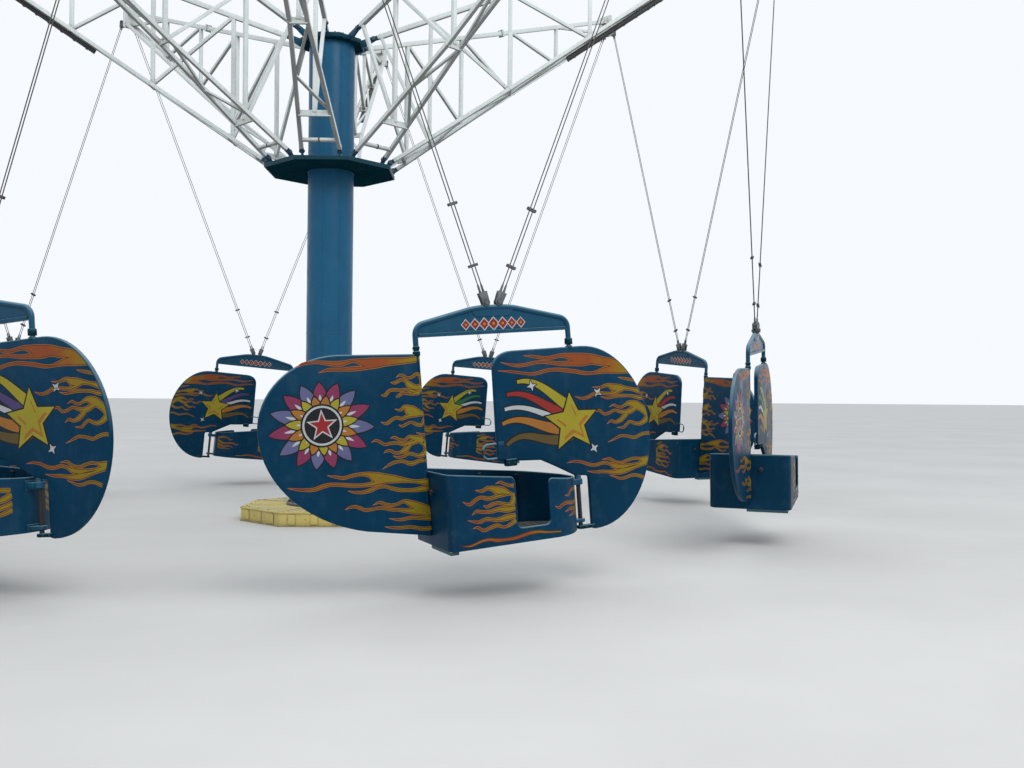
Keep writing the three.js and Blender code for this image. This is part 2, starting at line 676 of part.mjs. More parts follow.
function car(index) {
  const angle = (index + 0.5) * STEP_ANGLE;
  const label = `car_${index + 1}`;
  const hung = new THREE.Group();
  hung.position.set(CAR_RADIUS * Math.cos(angle), CAR_RADIUS * Math.sin(angle), PIN_Z);
  hung.rotation.z = angle + Math.PI / 2;
  hung.add(cableLeg(`${label}_cable_front`, 1), cableLeg(`${label}_cable_rear`, -1));
  const body = new THREE.Group();
  body.position.set(0, CAR_BALANCE, -EYE_DROP);
  body.rotation.y = -NOSE_UP;
  body.add(carFrame(`${label}_frame`), tub(`${label}_tub`), rudder(`${label}_rudder`));
  hung.add(body);
  return hung;
}

const ride = new THREE.Group();
ride.add(basePlatform(), baseBearing(), mast(), lowerHub(), upperHub());
for (let k = 0; k < CAR_COUNT; k += 1) ride.add(arm(k));
for (let k = 0; k < CAR_COUNT / 2; k += 1) ride.add(lightBar(k));
for (let k = 0; k < CAR_COUNT; k += 1) ride.add(car(k));

export default ride;
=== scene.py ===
"""Looks of a chair swing ride: eight cars on cables around a turning mast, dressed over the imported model."""

from contextlib import contextmanager
import json
import math
import random

import bmesh
import bpy
from mathutils import Matrix, Vector


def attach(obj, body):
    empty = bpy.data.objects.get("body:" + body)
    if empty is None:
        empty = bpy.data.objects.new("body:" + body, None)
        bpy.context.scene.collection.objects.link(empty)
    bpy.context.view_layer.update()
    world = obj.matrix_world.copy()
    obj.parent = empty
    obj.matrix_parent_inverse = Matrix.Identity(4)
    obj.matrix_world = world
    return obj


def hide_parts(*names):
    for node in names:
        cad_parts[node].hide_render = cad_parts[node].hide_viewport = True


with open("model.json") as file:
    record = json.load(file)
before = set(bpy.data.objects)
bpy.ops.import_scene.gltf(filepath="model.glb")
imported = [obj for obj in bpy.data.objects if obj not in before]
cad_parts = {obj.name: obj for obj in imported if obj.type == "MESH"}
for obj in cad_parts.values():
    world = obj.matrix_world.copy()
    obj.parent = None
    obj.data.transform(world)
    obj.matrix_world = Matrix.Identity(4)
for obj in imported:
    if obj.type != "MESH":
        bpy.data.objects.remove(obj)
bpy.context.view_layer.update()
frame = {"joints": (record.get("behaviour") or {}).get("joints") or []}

# Driving dimensions in metres, the same as in the part's source wherever it has them too.
CARS = range(1, 9)
STEP = math.tau / len(CARS)
SEAT_GAP = 0.0003
PLATFORM_RADIUS, PLATFORM_HEIGHT = 1.15, 0.18
BEARING_RADIUS, BEARING_HEIGHT, BEARING_FOOT_RADIUS = 0.43, 0.24, 0.54
MAST_RADIUS, MAST_TOP, FLANGE_RADIUS, FLANGE_HEIGHT = 0.305, 6.35, 0.45, 0.04
LOWER_PLATE_CORNER, LOWER_PLATE_BOTTOM, LOWER_PLATE_THICKNESS = 0.895, 4.63, 0.05
UPPER_PLATE_CORNER, UPPER_PLATE_THICKNESS = 0.44, 0.06
HUB_LUG_THICKNESS, HUB_LUG_RADIUS = 0.024, 0.04
LOWER_ROOT_X, LOWER_ROOT_Y, LOWER_ROOT_Z, LOWER_SLOPE = 0.87, 0.24, 4.76, 0.67
KINK_X, KINK_Y, CHORD_END_Y = 2.41, 0.1, 0.075
UPPER_ROOT_X, UPPER_ROOT_Z, UPPER_SLOPE = 0.56, 6.47, 0.353
LOWER_LUG_X = LOWER_ROOT_X - 0.045
POST_X, FIRST_RUNG_X, TIP_X = (1.33, 2.41, 3.5, 4.61), 0.98, 5.96
CHORD_WIDTH, UPPER_CHORD_WIDTH, UPPER_CHORD_HEIGHT = 0.052, 0.056, 0.066
POST_DEPTH, POST_WIDTH, DIAGONAL_DEPTH, DIAGONAL_WIDTH = 0.05, 0.054, 0.046, 0.046
TIP_WIDTH, TIP_BOTTOM, TIP_TOP = 0.27, 8.09, 8.47
PIN_RADIAL, PIN_SIDE, PIN_Z = 6.05, 0.11, 8.2
PIN_RADIUS, PIN_LUG_THICKNESS, PIN_LUG_RADIUS = 0.01, 0.016, 0.028
LIGHT_START, LIGHT_END, LIGHT_DROP = 3.2, 5.56, 0.115
ROPE_RADIUS, ROPE_SPACING = 0.006, 0.03
EYE_DROP, EYE_SPACING, NOSE_UP, CAR_BALANCE = 5.79, 0.12, math.radians(4.8), -0.003
TUBE_RADIUS, LEG_X = 0.023, 0.69
EAVE_Z, APEX_Z, APEX_HALF, HANGER_BOTTOM = -0.155, -0.043, 0.155, -0.262
LEG_FOOT_Z, FIN_THICKNESS, FIN_FOOT_Z = -0.345, 0.04, -1.86
TUB_HALF, TUB_FLOOR, TUB_RIM_REAR, TUB_RIM_SLOPE = 0.44, -1.944, -1.343, 0.1315
TUB_WALL, TUB_NOSE_X, TUB_SIDE_END, TUB_CORNER = 0.018, 0.6, 0.24, 0.08
TUB_REAR_X = -LEG_X + TUBE_RADIUS + SEAT_GAP
DOOR_REAR, DOOR_FRONT, DOOR_BOTTOM, DOOR_CORNER = -0.1, 0.205, -1.83, 0.055
SEAT_FRONT, SEAT_TOP, SEAT_BACK_TOP = -0.17, -1.69, -1.39
SHAFT_RADIUS, BLADE_THICKNESS, BLADE_TOP = 0.019, 0.044, -0.408
COLLAR_RADIUS, MID_BEARING, LOW_BEARING, SHAFT_FOOT = 0.034, (-1.6, -1.55), (-1.925, -1.895), -1.985

# Dimensions and numbers of the looks alone. A flame is thinnest at its tip, and each layer of paint
# lies a little above the one below, so that no two share a plane.
FORK_EYE, WEB_HALF, RING_BORE = 0.049, 0.006, 0.0205
LIGHT_PARTS, LAMPS, ROPE_STEPS = 4, 14, 24
PAINT_LIFT, TONGUE_STEP, PATCH_STEP, THINNEST = 0.0006, 0.00001, 0.00004, 0.0004
LAMP_SIZE, LAMP_POWER, LAMP_PLACE, LAMP_TARGET = 9, 1500, Vector((9, -16, 15)), Vector((0, 0, 3))
FLOOR_SIZE, FLOOR_Z = 1200, -0.002

# The photograph's camera: metres, then pixels, then radians, then millimetres.
CAMERA_SIDE, CAMERA_BACK, CAMERA_HEIGHT = 2.47, 13.419, 1.608
CAMERA_FOCAL, PICTURE_WIDTH = 995.5, 1024
CAMERA_TURN, CAMERA_PITCH, CAMERA_ROLL = math.radians(1.557), math.radians(0.843), math.radians(0.447)
SENSOR_WIDTH = 36

X, Y, Z = Vector((1, 0, 0)), Vector((0, 1, 0)), Vector((0, 0, 1))
JOINTS = {joint["name"]: joint for joint in frame["joints"]}
SHARP = math.radians(34)


# Places, outlines and paths.

shift = Matrix.Translation


def turn(angle, axis="Z"):
    return Matrix.Rotation(angle, 4, axis)


def axes(x, y, z):
    return Matrix((x, y, z)).transposed().to_4x4()


def aim(point, axis):
    """A place at a point, with its Z along an axis."""
    return shift(point) @ Vector(axis).to_track_quat("Z", "Y").to_matrix().to_4x4()


UPRIGHT, FACING_X = turn(math.pi / 2, "X"), axes(Y, Z, X)


def bezier(start, first, second, end, steps):
    """Points along a cubic curve, without its first one."""
    points = [Vector(p) for p in (start, first, second, end)]
    found = []
    for t in (step / steps for step in range(1, steps + 1)):
        weights = ((1 - t) ** 3, 3 * t * (1 - t) ** 2, 3 * t * t * (1 - t), t ** 3)
        found.append(sum((p * w for p, w in zip(points, weights)), Vector([0] * len(start))))
    return found


def bend(corners, radius, steps, loop=False):
    """A path with each of its corners rounded."""
    corners = [Vector(c) for c in corners]
    path = []
    for index, corner in enumerate(corners):
        if not loop and index in (0, len(corners) - 1):
            path.append(corner)
            continue
        ways = [other - corner for other in (corners[index - 1], corners[(index + 1) % len(corners)])]
        start, end = [corner + way.normalized() * min(radius, way.length * 0.49) for way in ways]
        path.append(start)
        path.extend(bezier(start, start.lerp(corner, 0.6), end.lerp(corner, 0.6), end, steps))
    return path


def inset(outline, depth):
    """A counterclockwise outline moved inwards."""
    outline = [Vector(p) for p in outline]
    moved = []
    for index, here in enumerate(outline):
        one = (here - outline[index - 1]).normalized()
        two = (outline[(index + 1) % len(outline)] - here).normalized()
        left = Vector((-one.y - two.y, one.x + two.x)).normalized()
        moved.append(here + left * (depth / max(0.5, left.dot(Vector((-one.y, one.x))))))
    return moved


def arc(middle, radius, start, end, steps, height=None):
    """Points along an arc, or along part of an ellipse where a height is given."""
    turns = [start + (end - start) * k / steps for k in range(steps + 1)]
    x, y = middle
    return [Vector((x + radius * math.cos(a), y + (height or radius) * math.sin(a))) for a in turns]


def ngon(radius, sides, phase=0.0, middle=(0, 0)):
    return arc(middle, radius, phase, phase + math.tau, sides)[:-1]


def octagon(corner):
    return ngon(corner, 8, STEP / 2)


def seam(x, z):
    """A point on the line from an octagon's middle to a corner."""
    return x, x * math.tan(STEP / 2), z


def circle(radius, z, sides):
    return [(p.x, p.y, z) for p in ngon(radius, sides)]


def rectangle(width, height, corner=0.0, steps=2):
    x, y = width / 2, height / 2
    corners = [(-x, -y), (x, -y), (x, y), (-x, y)]
    return bend(corners, corner, steps, loop=True) if corner else [Vector(c) for c in corners]


def neighbours(path, index):
    return path[max(index - 1, 0)], path[min(index + 1, len(path) - 1)]


def across_and_up(along, up):
    """Directions across a bar and up through it."""
    across = Vector(up).cross(along).normalized()
    return across, along.cross(across)


class Shape:
    """A mesh in the making. Solids and strips are added in the current paint, at the current place."""

    def __init__(self, paint):
        self.mesh = bmesh.new()
        self.uv = self.mesh.loops.layers.uv.new("UVMap")
        self.place = Matrix()
        self.paints = []
        self.use(paint)

    def use(self, paint):
        if paint not in self.paints:
            self.paints.append(paint)
        self.paint = self.paints.index(paint)

    @contextmanager
    def at(self, place):
        before = self.place
        self.place = before @ place
        yield
        self.place = before

    def around(self, count, first=0.0):
        """Turns the place about Z by equal steps, for a loop."""
        for k in range(count):
            with self.at(turn((k + first) * math.tau / count)):
                yield k

    def points(self, found):
        return [self.mesh.verts.new(self.place @ Vector(p)) for p in found]

    def face(self, corners, uvs=()):
        face = self.mesh.faces.new(corners)
        face.material_index = self.paint
        face.smooth = True
        for corner, uv in zip(face.loops, uvs):
            corner[self.uv].uv = uv

    def skin(self, rings, loop=False, lengths=None):
        """Joins rings of points, each counterclockwise around the way they go, and closes the ends."""
        rows = [self.points(ring) for ring in rings]
        sides = len(rows[0])
        lengths = lengths or range(len(rows))
        for index in range(len(rows) if loop else len(rows) - 1):
            after = (index + 1) % len(rows)
            for k in range(sides):
                quad = ((index, k), (index, k + 1), (after, k + 1), (after, k))
                self.face([rows[i][j % sides] for i, j in quad], [(j / sides, lengths[i]) for i, j in quad])
        if not loop:
            self.face(rows[0][::-1])
            self.face(rows[-1])

    def plate(self, outline, low, high, edge=0.001, steps=1):
        """A plate over a counterclockwise outline, its edges chamfered or rounded."""
        curve = [(edge - p.y, edge - p.x) for p in arc((0, 0), edge, 0, math.pi / 2, steps)]
        levels = [(depth, low + rise) for depth, rise in curve]
        levels += [(depth, high - rise) for depth, rise in reversed(curve)]
        self.skin([[(p.x, p.y, z) for p in inset(outline, depth)] for depth, z in levels])

    def upright(self, outline, half, edge=0.001, steps=1, place=Matrix()):
        """A plate of this half thickness that stands on edge, with its outline in X and Z."""
        with self.at(place @ UPRIGHT):
            self.plate(outline, -half, half, edge, steps)

    def lathe(self, profile, sides, loop=False):
        """Turns (radius, height) pairs, listed upwards along the outside, about Z."""
        self.skin([circle(radius, z, sides) for radius, z in profile], loop)

    def sweep(self, path, outline, up=Z):
        """An outline carried along a path."""
        rings = []
        for index, here in enumerate(path):
            before, after = neighbours(path, index)
            across, top = across_and_up((after - before).normalized(), up)
            rings.append([here + across * p.x + top * p.y for p in outline])
        self.skin(rings)

    def beam(self, start, end, width, height, up=Z, corner=0.006):
        """A bar of rectangular section with rounded corners."""
        self.sweep([start, end], rectangle(width, height, corner), up)

    def tube(self, path, radius, sides, loop=False, radii=None):
        """A round bar along a path. Radii may vary along it."""
        path = [Vector(p) for p in path]
        rings, lengths, run, normal = [], [], 0.0, None
        for index, here in enumerate(path):
            before, after = neighbours(path, index)
            if loop:
                before, after = path[index - 1], path[(index + 1) % len(path)]
            along = (after - before).normalized()
            if normal is None:
                normal = along.orthogonal().normalized()
            normal = (normal - along * normal.dot(along)).normalized()
            side = along.cross(normal)
            ring = ngon(radii[index] if radii else radius, sides)
            rings.append([here + normal * p.x + side * p.y for p in ring])
            run += (here - before).length if index else 0
            lengths.append(run)
        self.skin(rings, loop, lengths)

    def block(self, size, middle, edge=0.002):
        x, y, z = size
        with self.at(shift(middle)):
            self.plate(rectangle(x, y), -z / 2, z / 2, edge)

    def bolt(self, point, axis, size, washer=True):
        """A hex head on a washer, for a thread of this size."""
        with self.at(aim(point, axis)):
            thick = 0.18 * size if washer else 0
            if washer:
                self.lathe([(size, 0), (size, thick * 0.7), (size * 0.94, thick)], 14)
            head = thick + 0.65 * size
            self.plate(ngon(0.92 * size, 6), thick * 0.8, head, 0.08 * size)
            end = ((0.5, 0), (0.46, 0.25), (0.3, 0.3))
            self.lathe([(r * size, head + z * size) for r, z in end], 10)

    def bead(self, path, radius, loop=False, step=0.011):
        """A weld bead, rippled along its run."""
        path = [Vector(p) for p in path]
        dense = []
        for here, after in zip(path, path[1:] + (path[:1] if loop else [])):
            pieces = max(1, round((after - here).length / step))
            dense.extend(here.lerp(after, k / pieces) for k in range(pieces))
        if not loop:
            dense.append(path[-1])
        ripple = random.Random(len(dense))
        self.tube(dense, radius, 5, loop, [radius * ripple.uniform(0.7, 1.25) for _ in dense])

    def ring(self, radius, z, size, sides=90):
        """A weld bead around a tube."""
        self.bead(circle(radius, z, sides), size, loop=True, step=0.022)

    def strip(self, rows, levels):
        """An open strip of paint between pairs of points, each with its V."""
        made = [self.points(row) for row in rows]
        for (a, b), (c, d), low, high in zip(made, made[1:], levels, levels[1:]):
            self.face((a, b, d, c), ((0, low), (1, low), (1, high), (0, high)))

    def data(self, name):
        mesh = bpy.data.meshes.new(name)
        self.mesh.to_mesh(mesh)
        self.mesh.free()
        for paint in self.paints:
            mesh.materials.append(PAINT[paint])
        mesh.set_sharp_from_angle(angle=SHARP)
        return mesh


def show(name, data, place=Matrix()):
    shown = bpy.data.objects.new(name, data)
    bpy.context.collection.objects.link(shown)
    shown.matrix_world = place
    return shown


def put(node, data, body, place=Matrix()):
    """Places a piece that stands for a CAD node."""
    piece = show(f"{node}_look", data, place)
    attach(piece, body)
    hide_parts(node)


# Paints and metals.

class Look:
    """A material made of coats of colour. Its patterns follow the piece and differ from piece to piece."""

    def __init__(self, name, colour, specular=0.5, metallic=0.0):
        self.material = bpy.data.materials.new(name)
        self.material.use_nodes = True
        self.tree = self.material.node_tree
        self.shader = self.tree.nodes["Principled BSDF"]
        self.shader.inputs["Metallic"].default_value = metallic
        self.shader.inputs["Specular IOR Level"].default_value = specular
        self.colour = colour
        self.where = self.node("TexCoord").outputs["Object"]
        offset = self.times(self.node("ObjectInfo").outputs["Random"], 37)
        self.shifted = self.node("VectorMath", {0: self.where, 1: offset}, operation="ADD").outputs[0]

    def node(self, kind, inputs=(), **settings):
        made = self.tree.nodes.new("ShaderNode" + kind)
        for key, value in settings.items():
            setattr(made, key, value)
        for key, value in dict(inputs).items():
            if isinstance(value, bpy.types.NodeSocket):
                self.tree.links.new(value, made.inputs[key])
            else:
                made.inputs[key].default_value = value
        return made

    def noise(self, scale, detail=4, rough=0.55, stretch=(1, 1, 1)):
        place = self.node("Mapping", {"Vector": self.shifted, "Scale": stretch}).outputs[0]
        inputs = {"Vector": place, "Scale": scale, "Detail": detail, "Roughness": rough}
        return self.node("TexNoise", inputs).outputs[0]

    def ramp(self, value, low, high, start=0.0, end=1.0):
        return self.node("MapRange", {0: value, 1: low, 2: high, 3: start, 4: end}).outputs[0]

    def spots(self, scale, detail, low, high, start=0.0, end=1.0, rough=0.55, stretch=(1, 1, 1)):
        """Noise between two levels, spread from start to end."""
        return self.ramp(self.noise(scale, detail, rough, stretch), low, high, start, end)

    def maths(self, operation, one, two=0.0):
        return self.node("Math", {0: one, 1: two}, operation=operation).outputs[0]

    def times(self, one, two):
        return self.maths("MULTIPLY", one, two)

    def axis(self, vector, index):
        return self.node("SeparateXYZ", {0: vector}).outputs[index]

    def upward(self, low=0.3, high=0.95):
        return self.ramp(self.axis(self.node("NewGeometry").outputs["Normal"], 2), low, high)

    def edges(self, radius):
        """One along the edges that hands, feet and weather wear, and zero on flats."""
        rounded = self.node("Bevel", {"Radius": radius}, samples=4).outputs[0]
        flat = self.node("NewGeometry").outputs["Normal"]
        dot = self.node("VectorMath", {0: rounded, 1: flat}, operation="DOT_PRODUCT").outputs["Value"]
        return self.ramp(dot, 0.995, 0.93)

    def crevices(self, distance):
        # One where ambient occlusion finds a point hemmed in. Coats laid by it are painted shade, in the enamel
        # broken up as grime; the white paint also places its rust by it.
        shade = self.node("AmbientOcclusion", {"Distance": distance}, samples=6).outputs["AO"]
        return self.ramp(shade, 0.85, 0.25)

    def coat(self, amount, colour):
        """Another colour over the present one, as strong as the amount."""
        below = self.colour if isinstance(self.colour, bpy.types.NodeSocket) else (*self.colour, 1)
        mix = self.node("Mix", data_type="RGBA", inputs={0: amount, 6: below, 7: (*colour, 1)})
        self.colour = mix.outputs[2]

    def done(self, roughness, height=None, strength=0.1, distance=0.001):
        links = self.tree.links
        links.new(self.colour, self.shader.inputs["Base Color"])
        links.new(roughness, self.shader.inputs["Roughness"])
        if height:
            bump = self.node("Bump", {"Height": height, "Strength": strength, "Distance": distance})
            links.new(bump.outputs[0], self.shader.inputs["Normal"])
        return self.material


def darker(colour, amount):
    return tuple(c * amount for c in colour)


def painted(name, colour, gloss=0.32, wear=0.5, dust=0.25, specular=0.3, fade=(0.13, 0.25, 0.32), painted_highlight=0.4):
    """Enamel on steel: uneven, streaked by rain, dusty where it faces up and lit there by a painted highlight,
    darkened in its crevices by painted shade and grime, chipped at its edges.
    """
    look = Look(name, colour, specular)
    look.coat(look.spots(1.7, 3, 0.35, 0.68), darker(colour, 0.84))
    look.coat(look.spots(9, 5, 0.5, 0.78, 0, 0.06, rough=0.65), fade)
    look.coat(look.spots(1.6, 4, 0.54, 0.8, 0, 0.035, stretch=(11, 11, 0.8)), fade)
    # Painted highlight: faces that look up are lightened towards a pale sky blue, as the sky's reflection would
    # light them.
    look.coat(look.times(look.upward(0.05, 0.8), painted_highlight), (0.2, 0.42, 0.52))
    # Painted shade in crevices, broken up by grime: a darker copy of the paint where ambient occlusion finds a
    # point hemmed in.
    look.coat(look.times(look.crevices(0.09), look.spots(14, 4, 0.25, 0.7, 0.2, 0.75)), darker(colour, 0.3))
    settled = look.times(look.upward(), look.spots(5, 5, 0.25, 0.75, 0.1, dust * 2, rough=0.7))
    look.coat(settled, (0.34, 0.35, 0.33))
    chipped = look.times(look.edges(0.006), look.spots(38, 6, 0.56, 0.6, rough=0.7))
    bare = look.times(chipped, look.spots(7, 4, 0.4, 0.62, 0.1, wear))
    look.coat(bare, (0.12, 0.07, 0.05))
    rough = look.spots(4, 5, 0.3, 0.75, gloss - 0.06, gloss + 0.16, rough=0.6)
    for spread, amount in ((settled, 0.5), (bare, 0.4)):
        rough = look.maths("ADD", rough, look.times(spread, amount))
    height = look.maths("ADD", look.noise(3.5, 2), look.times(look.noise(260, 2), 0.05))
    return look.done(rough, look.maths("SUBTRACT", height, look.times(bare, 0.2)), 0.35, 0.004)


def print_paint(name, colour):
    """Hand-laid sign paint, a little uneven, crazed and faded."""
    look = Look(name, colour, 0.15)
    look.coat(look.spots(6, 4, 0.35, 0.7, 0, 0.35), darker(colour, 0.7))
    look.coat(look.spots(55, 6, 0.58, 0.7, 0, 0.3, rough=0.7), darker(colour, 0.35))
    return look.done(look.spots(18, 4, 0.3, 0.7, 0.32, 0.5), look.noise(120, 3), 0.15, 0.0006)


def flame_paint(name, *shades):
    """Sprayed flame colours, each at its place between the root of a tongue and its tip."""
    look = Look(name, None, 0.14)
    along = look.axis(look.node("TexCoord").outputs["UV"], 1)
    along = look.maths("ADD", along, look.spots(7, 3, 0.2, 0.8, -0.14, 0.14))
    sprayed = look.node("ValToRGB", {0: along})
    stops = sprayed.color_ramp.elements
    while len(stops) < len(shades):
        stops.new(0.5)
    for stop, (place, shade) in zip(stops, shades):
        stop.position = place
        stop.color = (*shade, 1)
    look.colour = sprayed.outputs[0]
    look.coat(look.spots(45, 6, 0.56, 0.7, 0, 0.3, rough=0.7), (0.1, 0.045, 0.02))
    return look.done(look.spots(15, 4, 0.3, 0.7, 0.3, 0.48), look.noise(120, 3), 0.15, 0.0006)


def galvanised(name, colour):
    """Zinc with a faint spangle, painted shade in its corners and a little rust."""
    look = Look(name, colour, 0.5, 0.75)
    cells = look.node("TexVoronoi", {"Vector": look.shifted, "Scale": 110})
    look.coat(look.ramp(look.axis(cells.outputs["Color"], 0), 0, 1, 0, 0.4), darker(colour, 1.7))
    # Painted shade: a near-black coat where ambient occlusion finds a corner.
    look.coat(look.crevices(0.03), (0.05, 0.045, 0.04))
    look.coat(look.spots(30, 5, 0.55, 0.72, 0, 0.5, rough=0.7), (0.22, 0.2, 0.18))
    look.coat(look.spots(16, 6, 0.63, 0.72, 0, 0.7, rough=0.7), (0.16, 0.07, 0.035))
    return look.done(look.spots(60, 4, 0.3, 0.7, 0.38, 0.62), look.noise(190, 3), 0.4, 0.0008)


def wire_rope(name):
    """Six strands laid around a core, darker in the valleys between them. U runs around the rope, V along it in
    metres.
    """
    look = Look(name, (0.075, 0.075, 0.073), 0.25, 0.2)
    spun = look.node("TexCoord").outputs["UV"]
    turns = look.maths("ADD", look.times(look.axis(spun, 0), 6), look.times(look.axis(spun, 1), 80))
    strand_height = look.maths("ABSOLUTE", look.maths("SINE", look.times(turns, math.pi)))
    look.coat(look.ramp(strand_height, 0.15, 0.8), (0.115, 0.115, 0.112))
    look.coat(look.spots(6, 4, 0.5, 0.7, 0, 0.4), (0.07, 0.045, 0.03))
    return look.done(look.spots(25, 3, 0.3, 0.7, 0.6, 0.8), strand_height, 0.25, 0.001)


def weathered_white(name):
    """Old white gloss paint with grey grime, painted shade on its undersides and in its crevices, thin rust
    weeping from the joints and worn corners.
    """
    look = Look(name, (0.7, 0.75, 0.735), 0.35)
    look.coat(look.spots(1.3, 4, 0.35, 0.7), (0.58, 0.62, 0.61))
    look.coat(look.spots(24, 6, 0.52, 0.72, 0, 0.3, rough=0.7), (0.36, 0.38, 0.37))
    look.coat(look.spots(2.2, 6, 0.52, 0.72, 0, 0.35, rough=0.65, stretch=(10, 10, 1.2)), (0.38, 0.39, 0.37))
    # Painted shade on faces that look down: a dark grey, broken up only a little.
    under = look.times(look.upward(-0.1, -0.7), look.spots(2.5, 4, 0.25, 0.7, 0.75, 0.92))
    look.coat(under, (0.15, 0.158, 0.155))
    # Painted shade in crevices by ambient occlusion; the same mask also places the rust that weeps from the
    # joints.
    close = look.crevices(0.12)
    look.coat(look.times(close, 0.55), (0.2, 0.2, 0.19))
    rusty = look.times(close, look.spots(21, 6, 0.52, 0.6, rough=0.72))
    worn = look.times(look.edges(0.004), look.spots(17, 6, 0.6, 0.68, rough=0.7))
    rusty = look.maths("MAXIMUM", rusty, worn)
    look.coat(look.times(rusty, 0.7), (0.26, 0.12, 0.06))
    height = look.maths("SUBTRACT", look.noise(90, 3), look.times(rusty, 0.8))
    return look.done(look.spots(8, 4, 0.3, 0.7, 0.36, 0.6), height, 0.3, 0.0012)


def deck_yellow(name):
    """Anti-slip yellow paint, scuffed to a grey undercoat where feet and rain pass."""
    look = Look(name, (0.62, 0.5, 0.13), 0.3)
    look.coat(look.spots(2, 4, 0.35, 0.7), (0.5, 0.42, 0.16))
    scuff = look.times(look.upward(), look.spots(3.2, 6, 0.44, 0.62, 0, 0.75, rough=0.68))
    look.coat(scuff, (0.3, 0.29, 0.25))
    # Painted shade: a dark brown coat where ambient occlusion finds a corner.
    look.coat(look.times(look.crevices(0.12), 0.8), (0.09, 0.075, 0.05))
    look.coat(look.times(look.edges(0.007), look.spots(28, 6, 0.48, 0.56, rough=0.7)), (0.17, 0.12, 0.09))
    grit = look.times(look.noise(420, 2), look.upward())
    return look.done(look.spots(10, 5, 0.3, 0.7, 0.5, 0.78), grit, 0.5, 0.0012)


def dusty_black(name, colour, gloss):
    """Black paint or rubber, dusty on top and worn grey at its edges."""
    look = Look(name, colour, 0.4)
    look.coat(look.spots(3, 5, 0.4, 0.72, 0, 0.5), (0.05, 0.05, 0.05))
    look.coat(look.times(look.upward(), look.spots(9, 5, 0.3, 0.7, 0.15, 0.6)), (0.2, 0.19, 0.17))
    look.coat(look.times(look.edges(0.004), look.spots(34, 5, 0.54, 0.6, rough=0.7)), (0.16, 0.15, 0.14))
    return look.done(look.spots(12, 4, 0.3, 0.7, gloss, gloss + 0.25), look.noise(150, 3), 0.2, 0.001)


def lens(name):
    """A ribbed lamp lens, unlit, yellowed and dusty."""
    look = Look(name, (0.5, 0.47, 0.38), 0.6)
    look.coat(look.spots(30, 4, 0.35, 0.7), (0.3, 0.27, 0.2))
    # Painted shade in the lens's hollows, where ambient occlusion finds them.
    look.coat(look.times(look.crevices(0.02), 0.7), (0.05, 0.045, 0.04))
    rings = look.node("TexWave", {"Vector": look.where, "Scale": 55}, wave_type="RINGS").outputs[1]
    return look.done(look.spots(40, 3, 0.3, 0.7, 0.12, 0.4), rings, 0.3, 0.0012)


PAINT = {
    "car": painted("car_blue", (0.0012, 0.033, 0.074), specular=0.06),
    "trim": painted("trim_blue", (0.007, 0.062, 0.118), 0.26, specular=0.14),
    "rail": painted("rail_blue", (0.07, 0.16, 0.2), 0.3),
    "inside": painted("inside_blue", (0.002, 0.02, 0.042), 0.5, 0.9, 0.4, 0.1),
    "shoe": painted("shoe_blue", (0.035, 0.085, 0.1), 0.42, 0.8, 0.4, 0.2),
    # A lighter copy of the hub's blue for the hub plates' edges and the upper top: a painted highlight.
    "hub_highlight": painted("hub_edge_highlight", (0.006, 0.05, 0.075), 0.38, specular=0.14),
    "mast": painted("mast_blue", (0.01, 0.1, 0.2), 0.3, 0.2, 0.2, 0.16),
    "hub": painted("hub_blue", (0.003, 0.027, 0.04), 0.5, 0.4, 0.12, 0.0),
    "arm": weathered_white("arm_white"),
    "yellow": deck_yellow("platform_yellow"),
    "bearing": painted("bearing_grey", (0.1, 0.115, 0.13), 0.45, fade=(0.2, 0.2, 0.19), painted_highlight=0.1),
    "black": dusty_black("light_black", (0.018, 0.018, 0.02), 0.4),
    "rubber": dusty_black("dark_rubber", (0.012, 0.012, 0.013), 0.6),
    "steel": galvanised("zinc_steel", (0.1, 0.114, 0.118)),
    "bolt": galvanised("dark_bolt", (0.09, 0.09, 0.095)),
    "rope": wire_rope("wire_rope"),
    "lens": lens("lamp_lens"),
    "flame_edge": flame_paint(
        "flame_edge", (0.0, (0.29, 0.12, 0.018)), (0.5, (0.31, 0.1, 0.018)), (1.0, (0.3, 0.08, 0.024))),
    "flame_line": flame_paint("flame_line", (0.0, (0.04, 0.02, 0.006)), (1.0, (0.055, 0.012, 0.008))),
    "flame_core": flame_paint(
        "flame_core", (0.0, (0.2, 0.15, 0.009)), (0.5, (0.2, 0.125, 0.009)), (1.0, (0.2, 0.08, 0.011))),
    "flame_hot": flame_paint(
        "flame_hot", (0.0, (0.2, 0.15, 0.009)), (0.16, (0.23, 0.1, 0.01)), (0.34, (0.22, 0.05, 0.014)),
        (0.6, (0.22, 0.06, 0.014)), (0.8, (0.23, 0.085, 0.02))),
}
PAINT.update((key, print_paint(name, colour)) for key, name, colour in (
    ("ink", "ink_black", (0.012, 0.012, 0.014)),
    ("white", "sign_white", (0.38, 0.4, 0.41)),
    ("lavender", "sign_lavender", (0.095, 0.1, 0.2)),
    ("magenta", "sign_magenta", (0.18, 0.028, 0.075)),
    ("red", "sign_red", (0.24, 0.018, 0.018)),
    ("orange", "sign_orange", (0.29, 0.12, 0.022)),
    ("gold", "sign_gold", (0.28, 0.24, 0.02)),
    ("brown", "sign_brown", (0.09, 0.065, 0.022)),
    ("accent_1", "accent_violet", (0.06, 0.045, 0.13)),
    ("accent_2", "accent_red", (0.24, 0.022, 0.018)),
    ("accent_3", "accent_green", (0.02, 0.12, 0.045)),
))


# Base and mast.

